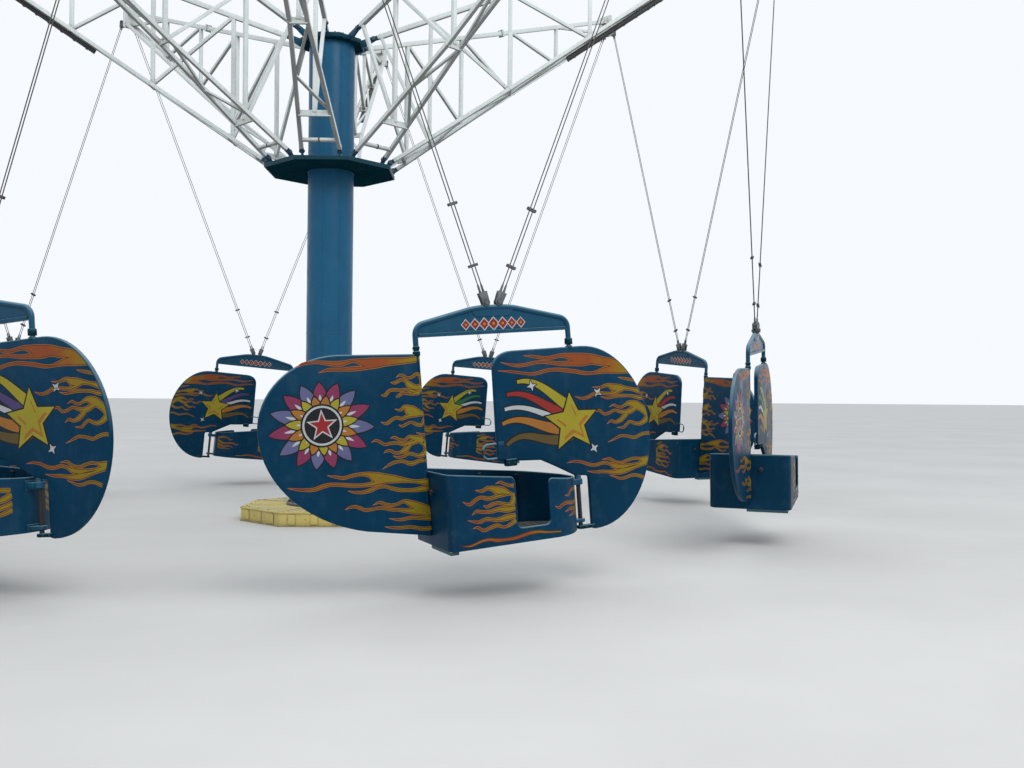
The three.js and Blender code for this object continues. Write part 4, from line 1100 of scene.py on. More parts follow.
# Each tongue of flame is a list of (x, z, width) points from its root to its tip.
FIN_TOP_FLAMES = [
    [(-0.66, -0.43, 0.05), (-0.8, -0.44, 0.055), (-0.95, -0.44, 0.07), (-1.08, -0.445, 0.09),
     (-1.15, -0.43, 0.06), (-1.22, -0.416, 0.03), (-1.34, -0.433, 0.046), (-1.5, -0.41, 0.026),
     (-1.6, -0.414, 0.024), (-1.66, -0.44, 0.004)],
    [(-0.9, -0.44, 0.004), (-1.0, -0.455, 0.04), (-1.12, -0.475, 0.036), (-1.22, -0.478, 0.04),
     (-1.32, -0.478, 0.028), (-1.42, -0.474, 0.026), (-1.5, -0.492, 0.004)],
]
FIN_FLAMES = [
    [(-0.725, -0.72, 0.01), (-0.69, -0.69, 0.04), (-0.672, -0.63, 0.035), (-0.68, -0.575, 0.032),
     (-0.71, -0.552, 0.026), (-0.75, -0.575, 0.024), (-0.79, -0.578, 0.022), (-0.82, -0.56, 0.024),
     (-0.85, -0.552, 0.018), (-0.88, -0.57, 0.004)],
    [(-0.68, -0.66, 0.05), (-0.73, -0.66, 0.05), (-0.78, -0.63, 0.05), (-0.8, -0.605, 0.03),
     (-0.84, -0.59, 0.024), (-0.89, -0.61, 0.028), (-0.93, -0.605, 0.004)],
    [(-0.7, -0.7, 0.01), (-0.74, -0.69, 0.034), (-0.8, -0.672, 0.026), (-0.85, -0.672, 0.024),
     (-0.9, -0.666, 0.026), (-0.945, -0.67, 0.026), (-0.98, -0.702, 0.028), (-1.015, -0.7, 0.004)],
    [(-0.7, -0.7, 0.04), (-0.75, -0.708, 0.03), (-0.8, -0.705, 0.02), (-0.835, -0.697, 0.022),
     (-0.87, -0.715, 0.026), (-0.895, -0.725, 0.004)],
    [(-0.655, -0.885, 0.02), (-0.7, -0.87, 0.05), (-0.745, -0.857, 0.085), (-0.79, -0.836, 0.085),
     (-0.825, -0.81, 0.04), (-0.865, -0.83, 0.022), (-0.91, -0.818, 0.004)],
    [(-0.71, -0.865, 0.01), (-0.76, -0.875, 0.04), (-0.81, -0.885, 0.035), (-0.855, -0.9, 0.028),
     (-0.9, -0.888, 0.026), (-0.94, -0.902, 0.026), (-0.985, -0.928, 0.026), (-1.03, -0.912, 0.004)],
    [(-0.66, -0.89, 0.02), (-0.672, -0.93, 0.035), (-0.7, -0.962, 0.03), (-0.74, -0.955, 0.026),
     (-0.78, -0.935, 0.02), (-0.82, -0.945, 0.022), (-0.86, -0.96, 0.02), (-0.885, -0.945, 0.004)],
    [(-0.66, -1.05, 0.022), (-0.7, -1.04, 0.02), (-0.745, -1.02, 0.004)],
    [(-0.665, -1.17, 0.04), (-0.685, -1.11, 0.05), (-0.72, -1.08, 0.06), (-0.765, -1.065, 0.05),
     (-0.805, -1.05, 0.03), (-0.845, -1.072, 0.024), (-0.885, -1.066, 0.024), (-0.93, -1.042, 0.02),
     (-0.965, -1.046, 0.004)],
    [(-0.69, -1.08, 0.01), (-0.74, -1.09, 0.034), (-0.8, -1.1, 0.04), (-0.855, -1.105, 0.03),
     (-0.915, -1.088, 0.026), (-0.965, -1.087, 0.024), (-1.01, -1.092, 0.022), (-1.05, -1.068, 0.022),
     (-1.085, -1.052, 0.018), (-1.12, -1.066, 0.004)],
    [(-0.77, -1.09, 0.008), (-0.81, -1.12, 0.034), (-0.85, -1.15, 0.045), (-0.895, -1.168, 0.026),
     (-0.935, -1.165, 0.024), (-0.97, -1.145, 0.022), (-1.0, -1.145, 0.02), (-1.025, -1.158, 0.004)],
    [(-0.665, -1.16, 0.05), (-0.69, -1.195, 0.045), (-0.74, -1.208, 0.03), (-0.785, -1.19, 0.026),
     (-0.825, -1.182, 0.03), (-0.865, -1.2, 0.024), (-0.91, -1.204, 0.02), (-0.95, -1.188, 0.004)],
    [(-0.66, -1.255, 0.024), (-0.73, -1.248, 0.03), (-0.78, -1.262, 0.034), (-0.82, -1.262, 0.032),
     (-0.87, -1.24, 0.026), (-0.92, -1.238, 0.024), (-0.97, -1.248, 0.024), (-1.045, -1.284, 0.004)],
    [(-0.66, -1.428, 0.06), (-0.72, -1.42, 0.045), (-0.79, -1.408, 0.03), (-0.865, -1.392, 0.04),
     (-0.945, -1.375, 0.062), (-1.03, -1.36, 0.078), (-1.1, -1.345, 0.09), (-1.15, -1.318, 0.05),
     (-1.22, -1.305, 0.03), (-1.3, -1.31, 0.027), (-1.36, -1.32, 0.028), (-1.42, -1.306, 0.022),
     (-1.49, -1.287, 0.004)],
    [(-0.92, -1.375, 0.006), (-1.0, -1.378, 0.03), (-1.08, -1.385, 0.045), (-1.17, -1.393, 0.035),
     (-1.24, -1.392, 0.03), (-1.32, -1.382, 0.032), (-1.4, -1.368, 0.03), (-1.47, -1.36, 0.03),
     (-1.53, -1.368, 0.034), (-1.6, -1.384, 0.032), (-1.68, -1.378, 0.024), (-1.75, -1.364, 0.016),
     (-1.8, -1.35, 0.004)],
    [(-0.66, -1.475, 0.035), (-0.72, -1.475, 0.045), (-0.78, -1.478, 0.035), (-0.84, -1.474, 0.03),
     (-0.91, -1.465, 0.032), (-0.97, -1.448, 0.03), (-1.03, -1.424, 0.026), (-1.09, -1.422, 0.028),
     (-1.15, -1.438, 0.034), (-1.21, -1.448, 0.028), (-1.28, -1.442, 0.02), (-1.335, -1.423, 0.004)],
    [(-0.66, -1.66, 0.06), (-0.73, -1.63, 0.07), (-0.79, -1.605, 0.07), (-0.845, -1.575, 0.05),
     (-0.89, -1.558, 0.03), (-0.94, -1.572, 0.026), (-0.99, -1.578, 0.028), (-1.04, -1.564, 0.028),
     (-1.09, -1.543, 0.022), (-1.145, -1.56, 0.004)],
    [(-0.66, -1.67, 0.07), (-0.72, -1.66, 0.07), (-0.8, -1.645, 0.06), (-0.87, -1.635, 0.04),
     (-0.94, -1.62, 0.028), (-1.0, -1.61, 0.028), (-1.08, -1.587, 0.026), (-1.16, -1.59, 0.026),
     (-1.21, -1.588, 0.026), (-1.25, -1.568, 0.028), (-1.29, -1.552, 0.026), (-1.33, -1.554, 0.018),
     (-1.37, -1.568, 0.004)],
    [(-0.66, -1.72, 0.04), (-0.75, -1.71, 0.03), (-0.84, -1.695, 0.028), (-0.93, -1.7, 0.024),
     (-1.02, -1.68, 0.004)],
    [(-0.66, -1.8, 0.03), (-0.75, -1.795, 0.03), (-0.84, -1.77, 0.026), (-0.92, -1.765, 0.026),
     (-1.0, -1.755, 0.02), (-1.06, -1.74, 0.004)],
]
RUDDER_TOP_FLAMES = [
    [(1.31, -0.65, 0.05), (1.2, -0.61, 0.07), (1.1, -0.575, 0.08), (1.0, -0.555, 0.085), (0.9, -0.532, 0.094),
     (0.8, -0.521, 0.1), (0.72, -0.505, 0.08), (0.65, -0.487, 0.05), (0.59, -0.482, 0.036),
     (0.52, -0.491, 0.034), (0.45, -0.495, 0.03), (0.37, -0.481, 0.026), (0.31, -0.47, 0.02),
     (0.245, -0.461, 0.004)],
    [(1.0, -0.55, 0.004), (0.9, -0.553, 0.04), (0.8, -0.555, 0.06), (0.72, -0.55, 0.06), (0.66, -0.553, 0.045),
     (0.585, -0.55, 0.036), (0.505, -0.538, 0.032), (0.425, -0.526, 0.03), (0.345, -0.527, 0.028),
     (0.265, -0.538, 0.03), (0.195, -0.542, 0.03), (0.125, -0.532, 0.022), (0.03, -0.504, 0.004)],
    [(1.33, -0.67, 0.03), (1.24, -0.648, 0.06), (1.13, -0.632, 0.08), (1.04, -0.632, 0.065),
     (0.965, -0.641, 0.045), (0.905, -0.65, 0.028), (0.82, -0.647, 0.032), (0.72, -0.625, 0.034),
     (0.62, -0.608, 0.034), (0.54, -0.598, 0.03), (0.46, -0.599, 0.03), (0.38, -0.613, 0.03),
     (0.32, -0.621, 0.026), (0.24, -0.61, 0.022), (0.12, -0.588, 0.02), (0.0, -0.574, 0.004)],
]
RUDDER_FLAMES = [
    [(1.36, -0.76, 0.02), (1.27, -0.735, 0.026), (1.2, -0.718, 0.022), (1.14, -0.704, 0.004)],
    [(1.41, -0.875, 0.03), (1.36, -0.845, 0.05), (1.28, -0.82, 0.035), (1.21, -0.805, 0.04),
     (1.15, -0.798, 0.065), (1.09, -0.79, 0.07), (1.045, -0.768, 0.038), (1.0, -0.77, 0.03),
     (0.96, -0.781, 0.022), (0.88, -0.772, 0.004)],
    [(1.21, -0.81, 0.006), (1.16, -0.82, 0.032), (1.1, -0.835, 0.036), (1.05, -0.842, 0.03),
     (1.0, -0.836, 0.028), (0.94, -0.828, 0.03), (0.885, -0.835, 0.03), (0.835, -0.855, 0.03),
     (0.77, -0.862, 0.022), (0.705, -0.84, 0.004)],
    [(1.42, -0.9, 0.04), (1.35, -0.9, 0.035), (1.28, -0.88, 0.028), (1.22, -0.872, 0.026), (1.13, -0.866, 0.03),
     (1.07, -0.873, 0.024), (1.02, -0.878, 0.02), (0.957, -0.86, 0.004)],
    [(1.42, -1.08, 0.04), (1.4, -1.03, 0.06), (1.35, -0.985, 0.07), (1.3, -0.96, 0.08), (1.24, -0.94, 0.05),
     (1.195, -0.952, 0.03), (1.155, -0.968, 0.024), (1.115, -0.96, 0.022), (1.08, -0.942, 0.018),
     (1.035, -0.958, 0.004)],
    [(1.35, -0.965, 0.01), (1.3, -0.985, 0.04), (1.24, -1.01, 0.05), (1.19, -1.015, 0.04), (1.14, -1.006, 0.03),
     (1.085, -0.99, 0.024), (1.035, -1.008, 0.026), (0.98, -1.014, 0.024), (0.935, -0.98, 0.024),
     (0.893, -0.99, 0.004)],
    [(1.25, -0.98, 0.008), (1.21, -1.02, 0.04), (1.175, -1.055, 0.045), (1.135, -1.082, 0.04),
     (1.085, -1.094, 0.028), (1.045, -1.08, 0.022), (1.0, -1.105, 0.004)],
    [(1.43, -1.06, 0.05), (1.395, -1.1, 0.05), (1.335, -1.128, 0.035), (1.28, -1.12, 0.028),
     (1.235, -1.102, 0.026), (1.2, -1.122, 0.026), (1.165, -1.147, 0.022), (1.1, -1.143, 0.004)],
    [(1.44, -1.225, 0.03), (1.39, -1.218, 0.03), (1.33, -1.228, 0.03), (1.27, -1.246, 0.028),
     (1.2, -1.228, 0.024), (1.13, -1.22, 0.024), (1.07, -1.24, 0.018), (1.0, -1.264, 0.004)],
    [(1.43, -1.45, 0.05), (1.36, -1.452, 0.06), (1.31, -1.44, 0.03), (1.25, -1.43, 0.026),
     (1.19, -1.438, 0.026), (1.12, -1.455, 0.028), (1.06, -1.442, 0.028), (1.0, -1.408, 0.024),
     (0.93, -1.409, 0.004)],
    [(1.38, -1.47, 0.05), (1.28, -1.482, 0.03), (1.2, -1.487, 0.035), (1.12, -1.49, 0.05), (1.05, -1.475, 0.05),
     (1.0, -1.452, 0.03), (0.94, -1.437, 0.03), (0.865, -1.448, 0.03), (0.8, -1.438, 0.028),
     (0.73, -1.41, 0.024), (0.655, -1.396, 0.018), (0.585, -1.403, 0.004)],
    [(1.37, -1.485, 0.03), (1.3, -1.495, 0.036), (1.24, -1.508, 0.038), (1.18, -1.52, 0.05),
     (1.11, -1.528, 0.06), (1.04, -1.53, 0.045), (0.98, -1.52, 0.03), (0.92, -1.512, 0.028),
     (0.855, -1.509, 0.022), (0.775, -1.493, 0.004)],
    [(1.38, -1.63, 0.02), (1.32, -1.6, 0.03), (1.265, -1.58, 0.028), (1.21, -1.577, 0.028),
     (1.15, -1.59, 0.026), (1.095, -1.59, 0.022), (1.03, -1.565, 0.012), (0.99, -1.55, 0.004)],
]
TUB_FLAMES = [
    [(-0.11, -1.485, 0.03), (-0.15, -1.478, 0.024), (-0.19, -1.462, 0.022), (-0.225, -1.445, 0.02),
     (-0.265, -1.452, 0.004)],
    [(-0.11, -1.56, 0.03), (-0.155, -1.54, 0.035), (-0.2, -1.518, 0.06), (-0.25, -1.507, 0.07),
     (-0.295, -1.488, 0.045), (-0.34, -1.481, 0.03), (-0.385, -1.497, 0.026), (-0.44, -1.484, 0.004)],
    [(-0.12, -1.545, 0.01), (-0.2, -1.548, 0.028), (-0.25, -1.55, 0.035), (-0.3, -1.56, 0.03),
     (-0.345, -1.56, 0.03), (-0.4, -1.546, 0.028), (-0.45, -1.565, 0.03), (-0.495, -1.59, 0.026),
     (-0.55, -1.563, 0.004)],
    [(-0.115, -1.55, 0.03), (-0.12, -1.6, 0.05), (-0.15, -1.63, 0.04), (-0.2, -1.622, 0.03),
     (-0.25, -1.605, 0.026), (-0.3, -1.61, 0.03), (-0.35, -1.625, 0.024), (-0.38, -1.61, 0.004)],
    [(-0.11, -1.66, 0.04), (-0.18, -1.665, 0.05), (-0.25, -1.655, 0.04), (-0.32, -1.665, 0.03),
     (-0.39, -1.66, 0.026), (-0.44, -1.65, 0.026), (-0.48, -1.675, 0.004)],
    [(-0.11, -1.72, 0.04), (-0.2, -1.73, 0.05), (-0.28, -1.735, 0.03), (-0.36, -1.72, 0.03),
     (-0.43, -1.735, 0.026), (-0.52, -1.71, 0.004)],
    [(-0.11, -1.76, 0.04), (-0.17, -1.79, 0.03), (-0.22, -1.8, 0.02), (-0.27, -1.78, 0.03),
     (-0.33, -1.79, 0.03), (-0.39, -1.805, 0.025), (-0.44, -1.775, 0.02), (-0.48, -1.78, 0.004)],
]
SILL_FLAMES = [
    [(0.28, -1.9, 0.02), (0.16, -1.89, 0.024), (0.09, -1.877, 0.03), (0.01, -1.876, 0.034),
     (-0.07, -1.89, 0.034), (-0.13, -1.9, 0.034), (-0.2, -1.901, 0.03), (-0.28, -1.897, 0.036),
     (-0.35, -1.882, 0.03), (-0.41, -1.886, 0.028), (-0.46, -1.9, 0.026), (-0.52, -1.912, 0.022),
     (-0.61, -1.898, 0.004)],
]
# On the front panel, x is the way along its curve from where the side ends.
FRONT_FLAMES = [
    [(0.45, -1.6, 0.04), (0.36, -1.59, 0.035), (0.27, -1.583, 0.026), (0.2, -1.592, 0.024),
     (0.165, -1.62, 0.022), (0.11, -1.618, 0.004)],
    [(0.46, -1.63, 0.05), (0.4, -1.665, 0.05), (0.3, -1.69, 0.035), (0.21, -1.69, 0.028), (0.13, -1.679, 0.028),
     (0.075, -1.689, 0.026), (0.04, -1.707, 0.02), (0.0, -1.69, 0.004)],
    [(0.46, -1.7, 0.04), (0.38, -1.73, 0.04), (0.28, -1.745, 0.03), (0.18, -1.735, 0.024), (0.1, -1.75, 0.004)],
    [(0.46, -1.75, 0.04), (0.36, -1.785, 0.03), (0.25, -1.78, 0.024), (0.15, -1.79, 0.004)],
]
HOT = ("flame_edge", "flame_line", "flame_hot")
SUNNY = ("flame_edge", "flame_line", "flame_core")
EMBER = ("flame_line", "flame_hot")


def fin_outline():
    outline = [(-LEG_X, FIN_FOOT_Z), (-LEG_X, -0.392), (-1.35, -0.362)]
    outline += bezier(outline[-1], (-1.72, -0.362), (-1.99, -0.62), (-1.99, -0.92), 16)
    return outline + bezier(outline[-1], (-1.99, -1.35), (-1.62, -1.66), (-1.2, -1.762), 16)


def hanger(shape):
    """The bent tube over the riders with the web inside it, its lower bar and the cables' eyes."""
    bottom, shoulder = HANGER_BOTTOM + 0.004, LEG_X - 0.042
    half = [(LEG_X, 0, LEG_FOOT_Z), (LEG_X, 0, -0.1665), (APEX_HALF, 0, APEX_Z)]
    shape.use("trim")
    shape.tube(bend(half + [(-x, y, z) for x, y, z in reversed(half)], 0.075, 7), TUBE_RADIUS, 18)
    shape.upright([
        (-LEG_X, bottom), (LEG_X, bottom), (LEG_X, -0.2), (shoulder, EAVE_Z),
        (APEX_HALF, APEX_Z), (-APEX_HALF, APEX_Z), (-shoulder, EAVE_Z), (-LEG_X, -0.2),
    ], WEB_HALF)
    shape.block((2 * LEG_X - 0.01, 0.04, 0.008), (0, 0, bottom))
    for side in (-1, 1):
        shape.block((2 * LEG_X - 0.05, 0.006, 0.03), (0, side * 0.017, bottom + 0.011))
        shape.bead([(x, side * 0.008, bottom + 0.008) for x in (-0.64, 0.64)], 0.003, step=0.02)
    shape.upright([
        (-0.15, -0.118), (0.15, -0.118), (0.185, -0.085), (0.17, -0.05), (-0.17, -0.05), (-0.185, -0.085),
    ], 0.013, 0.002)
    shape.use("steel")
    for x in (-EYE_SPACING / 2, EYE_SPACING / 2):
        eye = [(x - 0.032, APEX_Z), (x + 0.032, APEX_Z), *arc((x, 0), 0.024, 0, math.pi, 12)]
        shape.upright(eye, PIN_LUG_THICKNESS / 2, 0.002, 2)
        for y in (-0.01, 0.01):
            shape.bead([(x + dx, y, APEX_Z + 0.019) for dx in (-0.03, 0.03)], 0.0035)


def frame_mesh():
    shape = Shape("car")
    hanger(shape)
    shape.use("car")
    shape.tube([(-LEG_X, 0, FIN_FOOT_Z), (-LEG_X, 0, LEG_FOOT_Z + 0.02)], TUBE_RADIUS, 18)
    with shape.at(shift((-LEG_X, 0, 0))):
        shape.use("hub")
        shape.lathe([(0.024, -0.41), (0.031, -0.405), (0.031, -0.375), (0.024, -0.37)], 20, loop=True)
        shape.lathe([(0.024, -0.36), (0.029, -0.357), (0.029, -0.335), (0.024, -0.332)], 20, loop=True)
    shape.use("car")
    shape.upright(fin_outline(), FIN_THICKNESS / 2, 0.013, 4)
    with shape.at(shift((LEG_X, 0, LEG_FOOT_Z))):
        shape.use("hub")
        shape.lathe([
            (RING_BORE, -0.045), (0.032, -0.045), (COLLAR_RADIUS, -0.042),
            (COLLAR_RADIUS, 0.002), (0.03, 0.01), (RING_BORE, 0.01),
        ], 24, loop=True)
        shape.use("bolt")
        shape.bolt((0, 0.001 - COLLAR_RADIUS, -0.02), -Y, 0.005, washer=False)

    def lay(x, z, lift, side):
        """Lays paint on the fin and round the post in front of it."""
        post = max(0.0, TUBE_RADIUS ** 2 - (x + LEG_X) ** 2) ** 0.5
        return Vector((x, side * (max(post, FIN_THICKNESS / 2) + lift), z))

    post_front = straight(0.8 * TUBE_RADIUS - LEG_X)
    flames(shape, lay, FIN_TOP_FLAMES, post_front, HOT)
    flames(shape, lay, FIN_FLAMES, post_front, SUNNY)
    picture(shape, FIN_THICKNESS / 2, sun_wheel((-1.5, -0.9)))
    picture(shape, WEB_HALF, lozenges())
    return shape.data("frame_look")


def plan_curve(margin, steps=12):
    """The tub seen from above, from the outboard side's front end round the nose to its rear end."""
    rear, half, corner = TUB_REAR_X + margin, TUB_HALF - margin, TUB_CORNER - margin
    nose, nose_half = TUB_NOSE_X - margin, 0.09 - margin / 2
    front = bezier((TUB_SIDE_END, -half), (0.4, -half), (0.52 - margin, -0.3), (nose, -nose_half), steps)
    curve = [Vector((TUB_SIDE_END, -half)), *front, *(Vector((p.x, -p.y)) for p in reversed(front))]
    curve += [Vector((x, half)) for x in (TUB_SIDE_END, -0.2, rear + corner)]
    third = corner * 0.33
    curve += bezier(curve[-1], (rear + third, half), (rear, half - corner * 0.67), (rear, half - corner), 5)
    curve += [Vector((rear, 0)), Vector((rear, corner - half))]
    return curve + bezier(curve[-1], (rear, third - half), (rear + third, -half), (rear + corner, -half), 5)


def front_panel(x, z, lift, side):
    """Lays paint on the curve of the nose, x metres along it from where the side ends."""
    curve = plan_curve(-lift)
    for start, end in zip(curve, curve[1:]):
        step = (end - start).length
        if step >= x:
            break
        x -= step
    here = start.lerp(end, x / step)
    return Vector((here.x, -side * here.y, z))


def rim_z(x):
    return TUB_RIM_REAR - TUB_RIM_SLOPE * (x + LEG_X)


def doorway():
    """The doorway's edge in x and z, from the rim in front of it to the rim behind it."""
    rim = [(x, rim_z(x)) for x in (DOOR_FRONT + 0.06, DOOR_FRONT, DOOR_REAR, DOOR_REAR - 0.06)]
    sill = [(x, DOOR_BOTTOM) for x in (DOOR_FRONT, DOOR_REAR)]
    return bend(rim[:2] + sill + rim[2:], DOOR_CORNER, 6)


def tub_shell(shape, door):
    """The walls and the floor, with tubes along the rim and around the doorway."""
    shape.skin([
        [(o.x, o.y, TUB_FLOOR), (o.x, o.y, rim_z(o.x)), (i.x, i.y, rim_z(i.x)), (i.x, i.y, TUB_FLOOR)]
        for o, i in zip(plan_curve(0), plan_curve(TUB_WALL))
    ])
    rear, end, side_y = TUB_REAR_X + TUB_CORNER, TUB_SIDE_END, TUB_WALL / 2 - TUB_HALF
    side = [(rear, TUB_FLOOR), (end, TUB_FLOOR), (end, rim_z(end)), *door[1:-1], (rear, rim_z(rear))]
    shape.upright(side, TUB_WALL / 2, 0.0005, place=shift((0, side_y, 0)))
    shape.use("inside")
    top = TUB_FLOOR + TUB_WALL
    shape.plate(plan_curve(0.004), TUB_FLOOR, top)
    shape.use("rubber")
    shape.plate(plan_curve(0.06), top - 0.001, top + 0.004)
    for k in range(9):
        shape.block((0.012, 0.5, 0.004), (0.06 * k - 0.1, 0, top + 0.006), 0.001)
    sunk = 0.005
    gate = [Vector((p.x, side_y, p.y - sunk)) for p in reversed(door)]
    rim = [Vector((p.x, p.y, rim_z(p.x) - sunk)) for p in plan_curve(TUB_WALL / 2, 14)]
    # The rim tube is in the lighter trim blue, a painted highlight along the rim; the doorway's edge keeps the
    # car's blue.
    shape.use("trim")
    shape.tube(rim + gate[:2], 0.0095, 10)
    shape.use("car")
    shape.tube(gate, 0.0103, 10)


def bench(shape):
    """The seat and its back in one, battens on its front, and ribs on the side walls."""
    rear, half = TUB_REAR_X + TUB_WALL, TUB_HALF - TUB_WALL
    face, foot = SEAT_FRONT - 0.02, TUB_FLOOR + 0.02
    shape.use("inside")
    shape.upright(bend([
        (rear, foot), (face, foot), (face, SEAT_TOP - 0.05), (SEAT_FRONT, SEAT_TOP - 0.035),
        (SEAT_FRONT, SEAT_TOP - 0.008), (face, SEAT_TOP), (-0.4, SEAT_TOP - 0.012),
        (rear + 0.13, SEAT_TOP - 0.004), (rear + 0.07, SEAT_BACK_TOP - 0.01),
        (rear + 0.06, SEAT_BACK_TOP), (rear, SEAT_BACK_TOP),
    ], 0.02, 3, loop=True), half, 0.004, 2)
    for y in (0.02 - half, 0, half - 0.02):
        shape.block((0.006, 0.03, 0.2), (face + 0.002, y, TUB_FLOOR + 0.13))
    for x, side in ((0.28, -1), (-0.05, 1), (0.3, 1)):
        rim = rim_z(x)
        middle = (x, side * (half - 0.005), (rim + TUB_FLOOR) / 2)
        shape.block((0.035, 0.012, rim - TUB_FLOOR - 0.05), middle, 0.003)


def tub_fittings(shape):
    """The shoe under the tub, the knobs on its rear wall and the rudder's brackets on its nose."""
    shape.use("shoe")
    shape.block((0.07, 0.44, 0.03), (0.06 - LEG_X, -0.19, TUB_FLOOR - 0.014), 0.004)
    shape.use("rubber")
    for y in (-0.13, 0.13):
        with shape.at(aim((TUB_REAR_X, y, -1.5), -X)):
            shape.lathe([
                (0.008, 0), (0.008, 0.014), (0.02, 0.016), (0.024, 0.022), (0.024, 0.032), (0.016, 0.038),
            ], 18)
    root, reach, ring = TUB_NOSE_X - 0.03, LEG_X - 0.02, COLLAR_RADIUS + 0.006
    for low, high in (MID_BEARING, LOW_BEARING):
        middle = (low + high) / 2
        shape.use("trim")
        shape.plate([(root, -0.045), (reach, -0.035), (reach, 0.035), (root, 0.045)], low, high, 0.004, 2)
        with shape.at(shift((LEG_X, 0, 0))):
            shape.lathe([
                (RING_BORE, low), (ring - 0.003, low), (ring, low + 0.003),
                (ring, high - 0.003), (ring - 0.003, high), (RING_BORE, high),
            ], 28, loop=True)
        shape.block((0.006, 0.12, high - low + 0.03), (TUB_NOSE_X + 0.001, 0, middle))
        shape.use("bolt")
        for y in (-0.05, 0.05):
            shape.bolt((TUB_NOSE_X + 0.004, y, middle), X, 0.006)


def tub_mesh():
    shape = Shape("car")
    tub_shell(shape, doorway())
    bench(shape)
    tub_fittings(shape)
    flames(shape, flat(TUB_HALF), TUB_FLAMES, straight(DOOR_REAR - 0.004), SUNNY)
    flames(shape, flat(TUB_HALF), SILL_FLAMES, straight(0.28), EMBER)
    flames(shape, front_panel, FRONT_FLAMES, straight(0.46), SUNNY)
    return shape.data("tub_look")


def blade_outline():
    lobe, tail = LEG_X + 0.1, 1.438
    outline = [Vector(p) for p in (
        (-0.05, -1.31), (0.1, -1.336), (0.35, -1.354), (0.489, -1.424), (0.66, -1.518), (lobe - 0.03, -1.53))]
    outline += bezier(outline[-1], (lobe - 0.01, -1.53), (lobe, -1.54), (lobe, -1.56), 5)
    outline += [Vector((lobe, -1.99)), Vector((lobe + 0.04, -2.0))]
    outline += bezier(outline[-1], (1.2, -2.0), (tail, -1.6), (tail, -1.2), 18)
    outline += bezier(outline[-1], (tail, -0.8), (1.15, BLADE_TOP), (0.8, BLADE_TOP), 18)
    outline += [Vector((0.14, BLADE_TOP - 0.004))]
    return outline + bezier(outline[-1], (0.03, -0.415), (-0.038, -0.47), (-0.042, -0.56), 10)


def tail_edge(outline):
    """Gives the x at which the rounded edge of the blade's tail starts, for each height."""
    tail = sorted((p for p in inset(outline, 0.0125) if p.x > 1.0 and p.y > -1.9), key=lambda p: p.y)

    def limit(z):
        for low, high in zip(tail, tail[1:]):
            if z <= high.y:
                break
        return low.x + (high.x - low.x) * (z - low.y) / (high.y - low.y)

    return limit


def clamp(shape, size, middle, edge, bolts):
    """A block with bolts through it, at these x."""
    shape.use("hub")
    shape.block(size, middle, edge)
    shape.use("bolt")
    for x in bolts:
        for side in (-1, 1):
            shape.bolt((x, side * size[1] / 2, middle[2]), Y * side, 0.006)


def rudder_shaft(shape):
    """The shaft in its collars, and the foot stop at its lower end."""
    top, foot = MID_BEARING[1] + SEAT_GAP, SHAFT_FOOT + 0.015
    shape.use("steel")
    shape.tube([(LEG_X, 0, BLADE_TOP - 0.03), (LEG_X, 0, LEG_FOOT_Z - 0.03)], SHAFT_RADIUS, 20)
    # The shaft below the blade is laid in black rubber: painted shade, for the shadow it hangs in.
    shape.use("rubber")
    shape.tube([(LEG_X, 0, SHAFT_FOOT + 0.002), (LEG_X, 0, -1.5)], SHAFT_RADIUS, 20)
    shape.use("trim")
    with shape.at(shift((LEG_X, 0, 0))):
        shape.lathe([
            (SHAFT_RADIUS, top), (0.03, top), (0.03, top + 0.012),
            (0.0285, top + 0.014), (0.0285, -1.52), (SHAFT_RADIUS, -1.518),
        ], 26, loop=True)
        shape.lathe([
            (SHAFT_RADIUS, BLADE_TOP - 0.01), (0.031, BLADE_TOP - 0.01), (0.03, BLADE_TOP + 0.006),
            (0.023, BLADE_TOP + 0.01), (SHAFT_RADIUS, BLADE_TOP + 0.01),
        ], 22, loop=True)
    clamp(shape, (0.15, 0.06, 0.03), (LEG_X + 0.05, 0, foot), 0.004, (0.73, 0.79))


def grab_handle(shape):
    """The riders' handle on the blade's front edge, under a clamp."""
    grip_x, top, bottom = -0.172, -1.18, -1.302
    clamp(shape, (0.095, 0.06, 0.06), (0.07, 0, -1.345), 0.005, (0.045, 0.095))
    shape.use("rail")
    bar = [(0.02, 0, top), (grip_x, 0, top), (grip_x, 0, bottom), (0.02, 0, bottom)]
    shape.tube(bend(bar, 0.055, 8), 0.009, 14)
    shape.use("rubber")
    shape.tube([(grip_x, 0, -1.265), (grip_x, 0, -1.217)], 0.0098, 14)
    shape.use("trim")
    for side in (-1, 1):
        shape.block((0.05, 0.004, 0.03), (-0.015, side * (BLADE_THICKNESS / 2 + 0.001), top), 0.0015)


def rudder_mesh(accent):
    shape = Shape("car")
    outline, half = blade_outline(), BLADE_THICKNESS / 2
    shape.upright(outline, half, 0.012, 4)
    rudder_shaft(shape)
    grab_handle(shape)
    flames(shape, flat(half), RUDDER_TOP_FLAMES, tail_edge(outline), HOT)
    flames(shape, flat(half), RUDDER_FLAMES, tail_edge(outline), SUNNY)
    picture(shape, half, shooting_star(accent))
    return shape.data(f"rudder_look_{accent}")


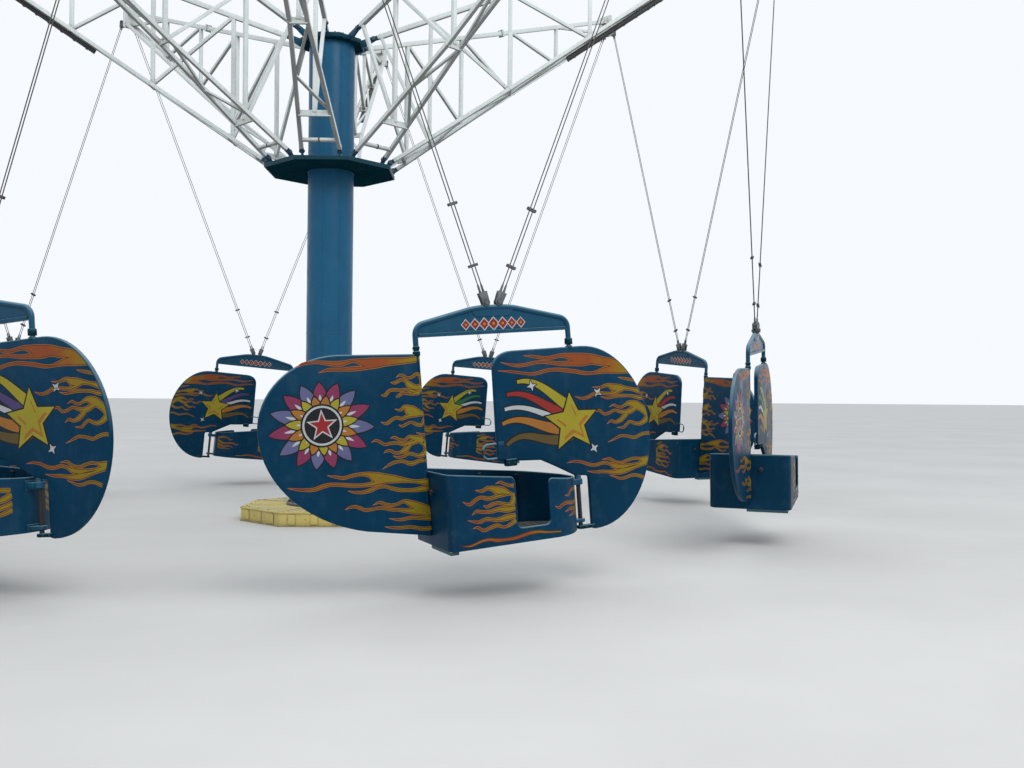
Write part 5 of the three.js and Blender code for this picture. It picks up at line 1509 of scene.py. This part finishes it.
def cars():
    cables = {"front": cable_mesh(1), "rear": cable_mesh(-1)}
    body, tub = frame_mesh(), tub_mesh()
    rudders = [rudder_mesh(f"accent_{k}") for k in (1, 2, 3)]
    for k in CARS:
        joint = JOINTS[f"car_{k}_swing"]
        forward = -Vector(joint["axis"])
        hung = shift(joint["pos_m"]) @ axes(forward, Z.cross(forward), Z)
        place = hung @ shift((0, CAR_BALANCE, -EYE_DROP)) @ turn(-NOSE_UP, "Y")
        for end, mesh in cables.items():
            put(f"car_{k}_cable_{end}", mesh, f"car_{k}", hung)
        put(f"car_{k}_frame", body, f"car_{k}", place)
        put(f"car_{k}_tub", tub, f"car_{k}", place)
        put(f"car_{k}_rudder", rudders[k % 3], f"rudder_{k}", place)


# Floor, light and camera.

def surroundings():
    """A pale floor under an even sky, and one soft lamp high to the right of the camera."""
    look = Look("pale_floor", (0.62, 0.62, 0.61), 0.2)
    look.coat(look.spots(0.35, 4, 0.3, 0.7), (0.56, 0.56, 0.55))
    mesh = bpy.data.meshes.new("floor")
    mesh.from_pydata([(p.x, p.y, FLOOR_Z) for p in rectangle(FLOOR_SIZE, FLOOR_SIZE)], [], [(0, 1, 2, 3)])
    mesh.materials.append(look.done(look.spots(2, 3, 0.3, 0.7, 0.75, 0.9)))
    ground = show("floor", mesh)
    world = bpy.data.worlds.new("studio")
    world.use_nodes = True
    sky = world.node_tree.nodes["Background"].inputs
    sky["Color"].default_value = (0.93, 0.96, 1, 1)
    sky["Strength"].default_value = 1.0
    scene = bpy.context.scene
    scene.world = world
    scene.view_settings.view_transform = "Standard"
    lamp = bpy.data.lights.new("key", "AREA")
    lamp.size, lamp.energy = LAMP_SIZE, LAMP_POWER
    show("key", lamp, aim(LAMP_PLACE, LAMP_PLACE - LAMP_TARGET))


def camera():
    """The photograph's view: from eye height beside the platform, the mast left of the middle."""
    made = bpy.data.cameras.new("camera")
    made.sensor_width, made.lens = SENSOR_WIDTH, CAMERA_FOCAL / PICTURE_WIDTH * SENSOR_WIDTH
    made.clip_start, made.clip_end = 0.1, 2000
    eye = turn(-CAMERA_TURN) @ shift((CAMERA_SIDE, -CAMERA_BACK, CAMERA_HEIGHT))
    view = show("camera", made, eye @ turn(math.pi / 2 + CAMERA_PITCH, "X") @ turn(CAMERA_ROLL))
    bpy.context.scene.camera = view


camera()
surroundings()
platform()
slewing_bearing()
mast()
lower_hub()
upper_hub()
arms()
light_bars()
cars()
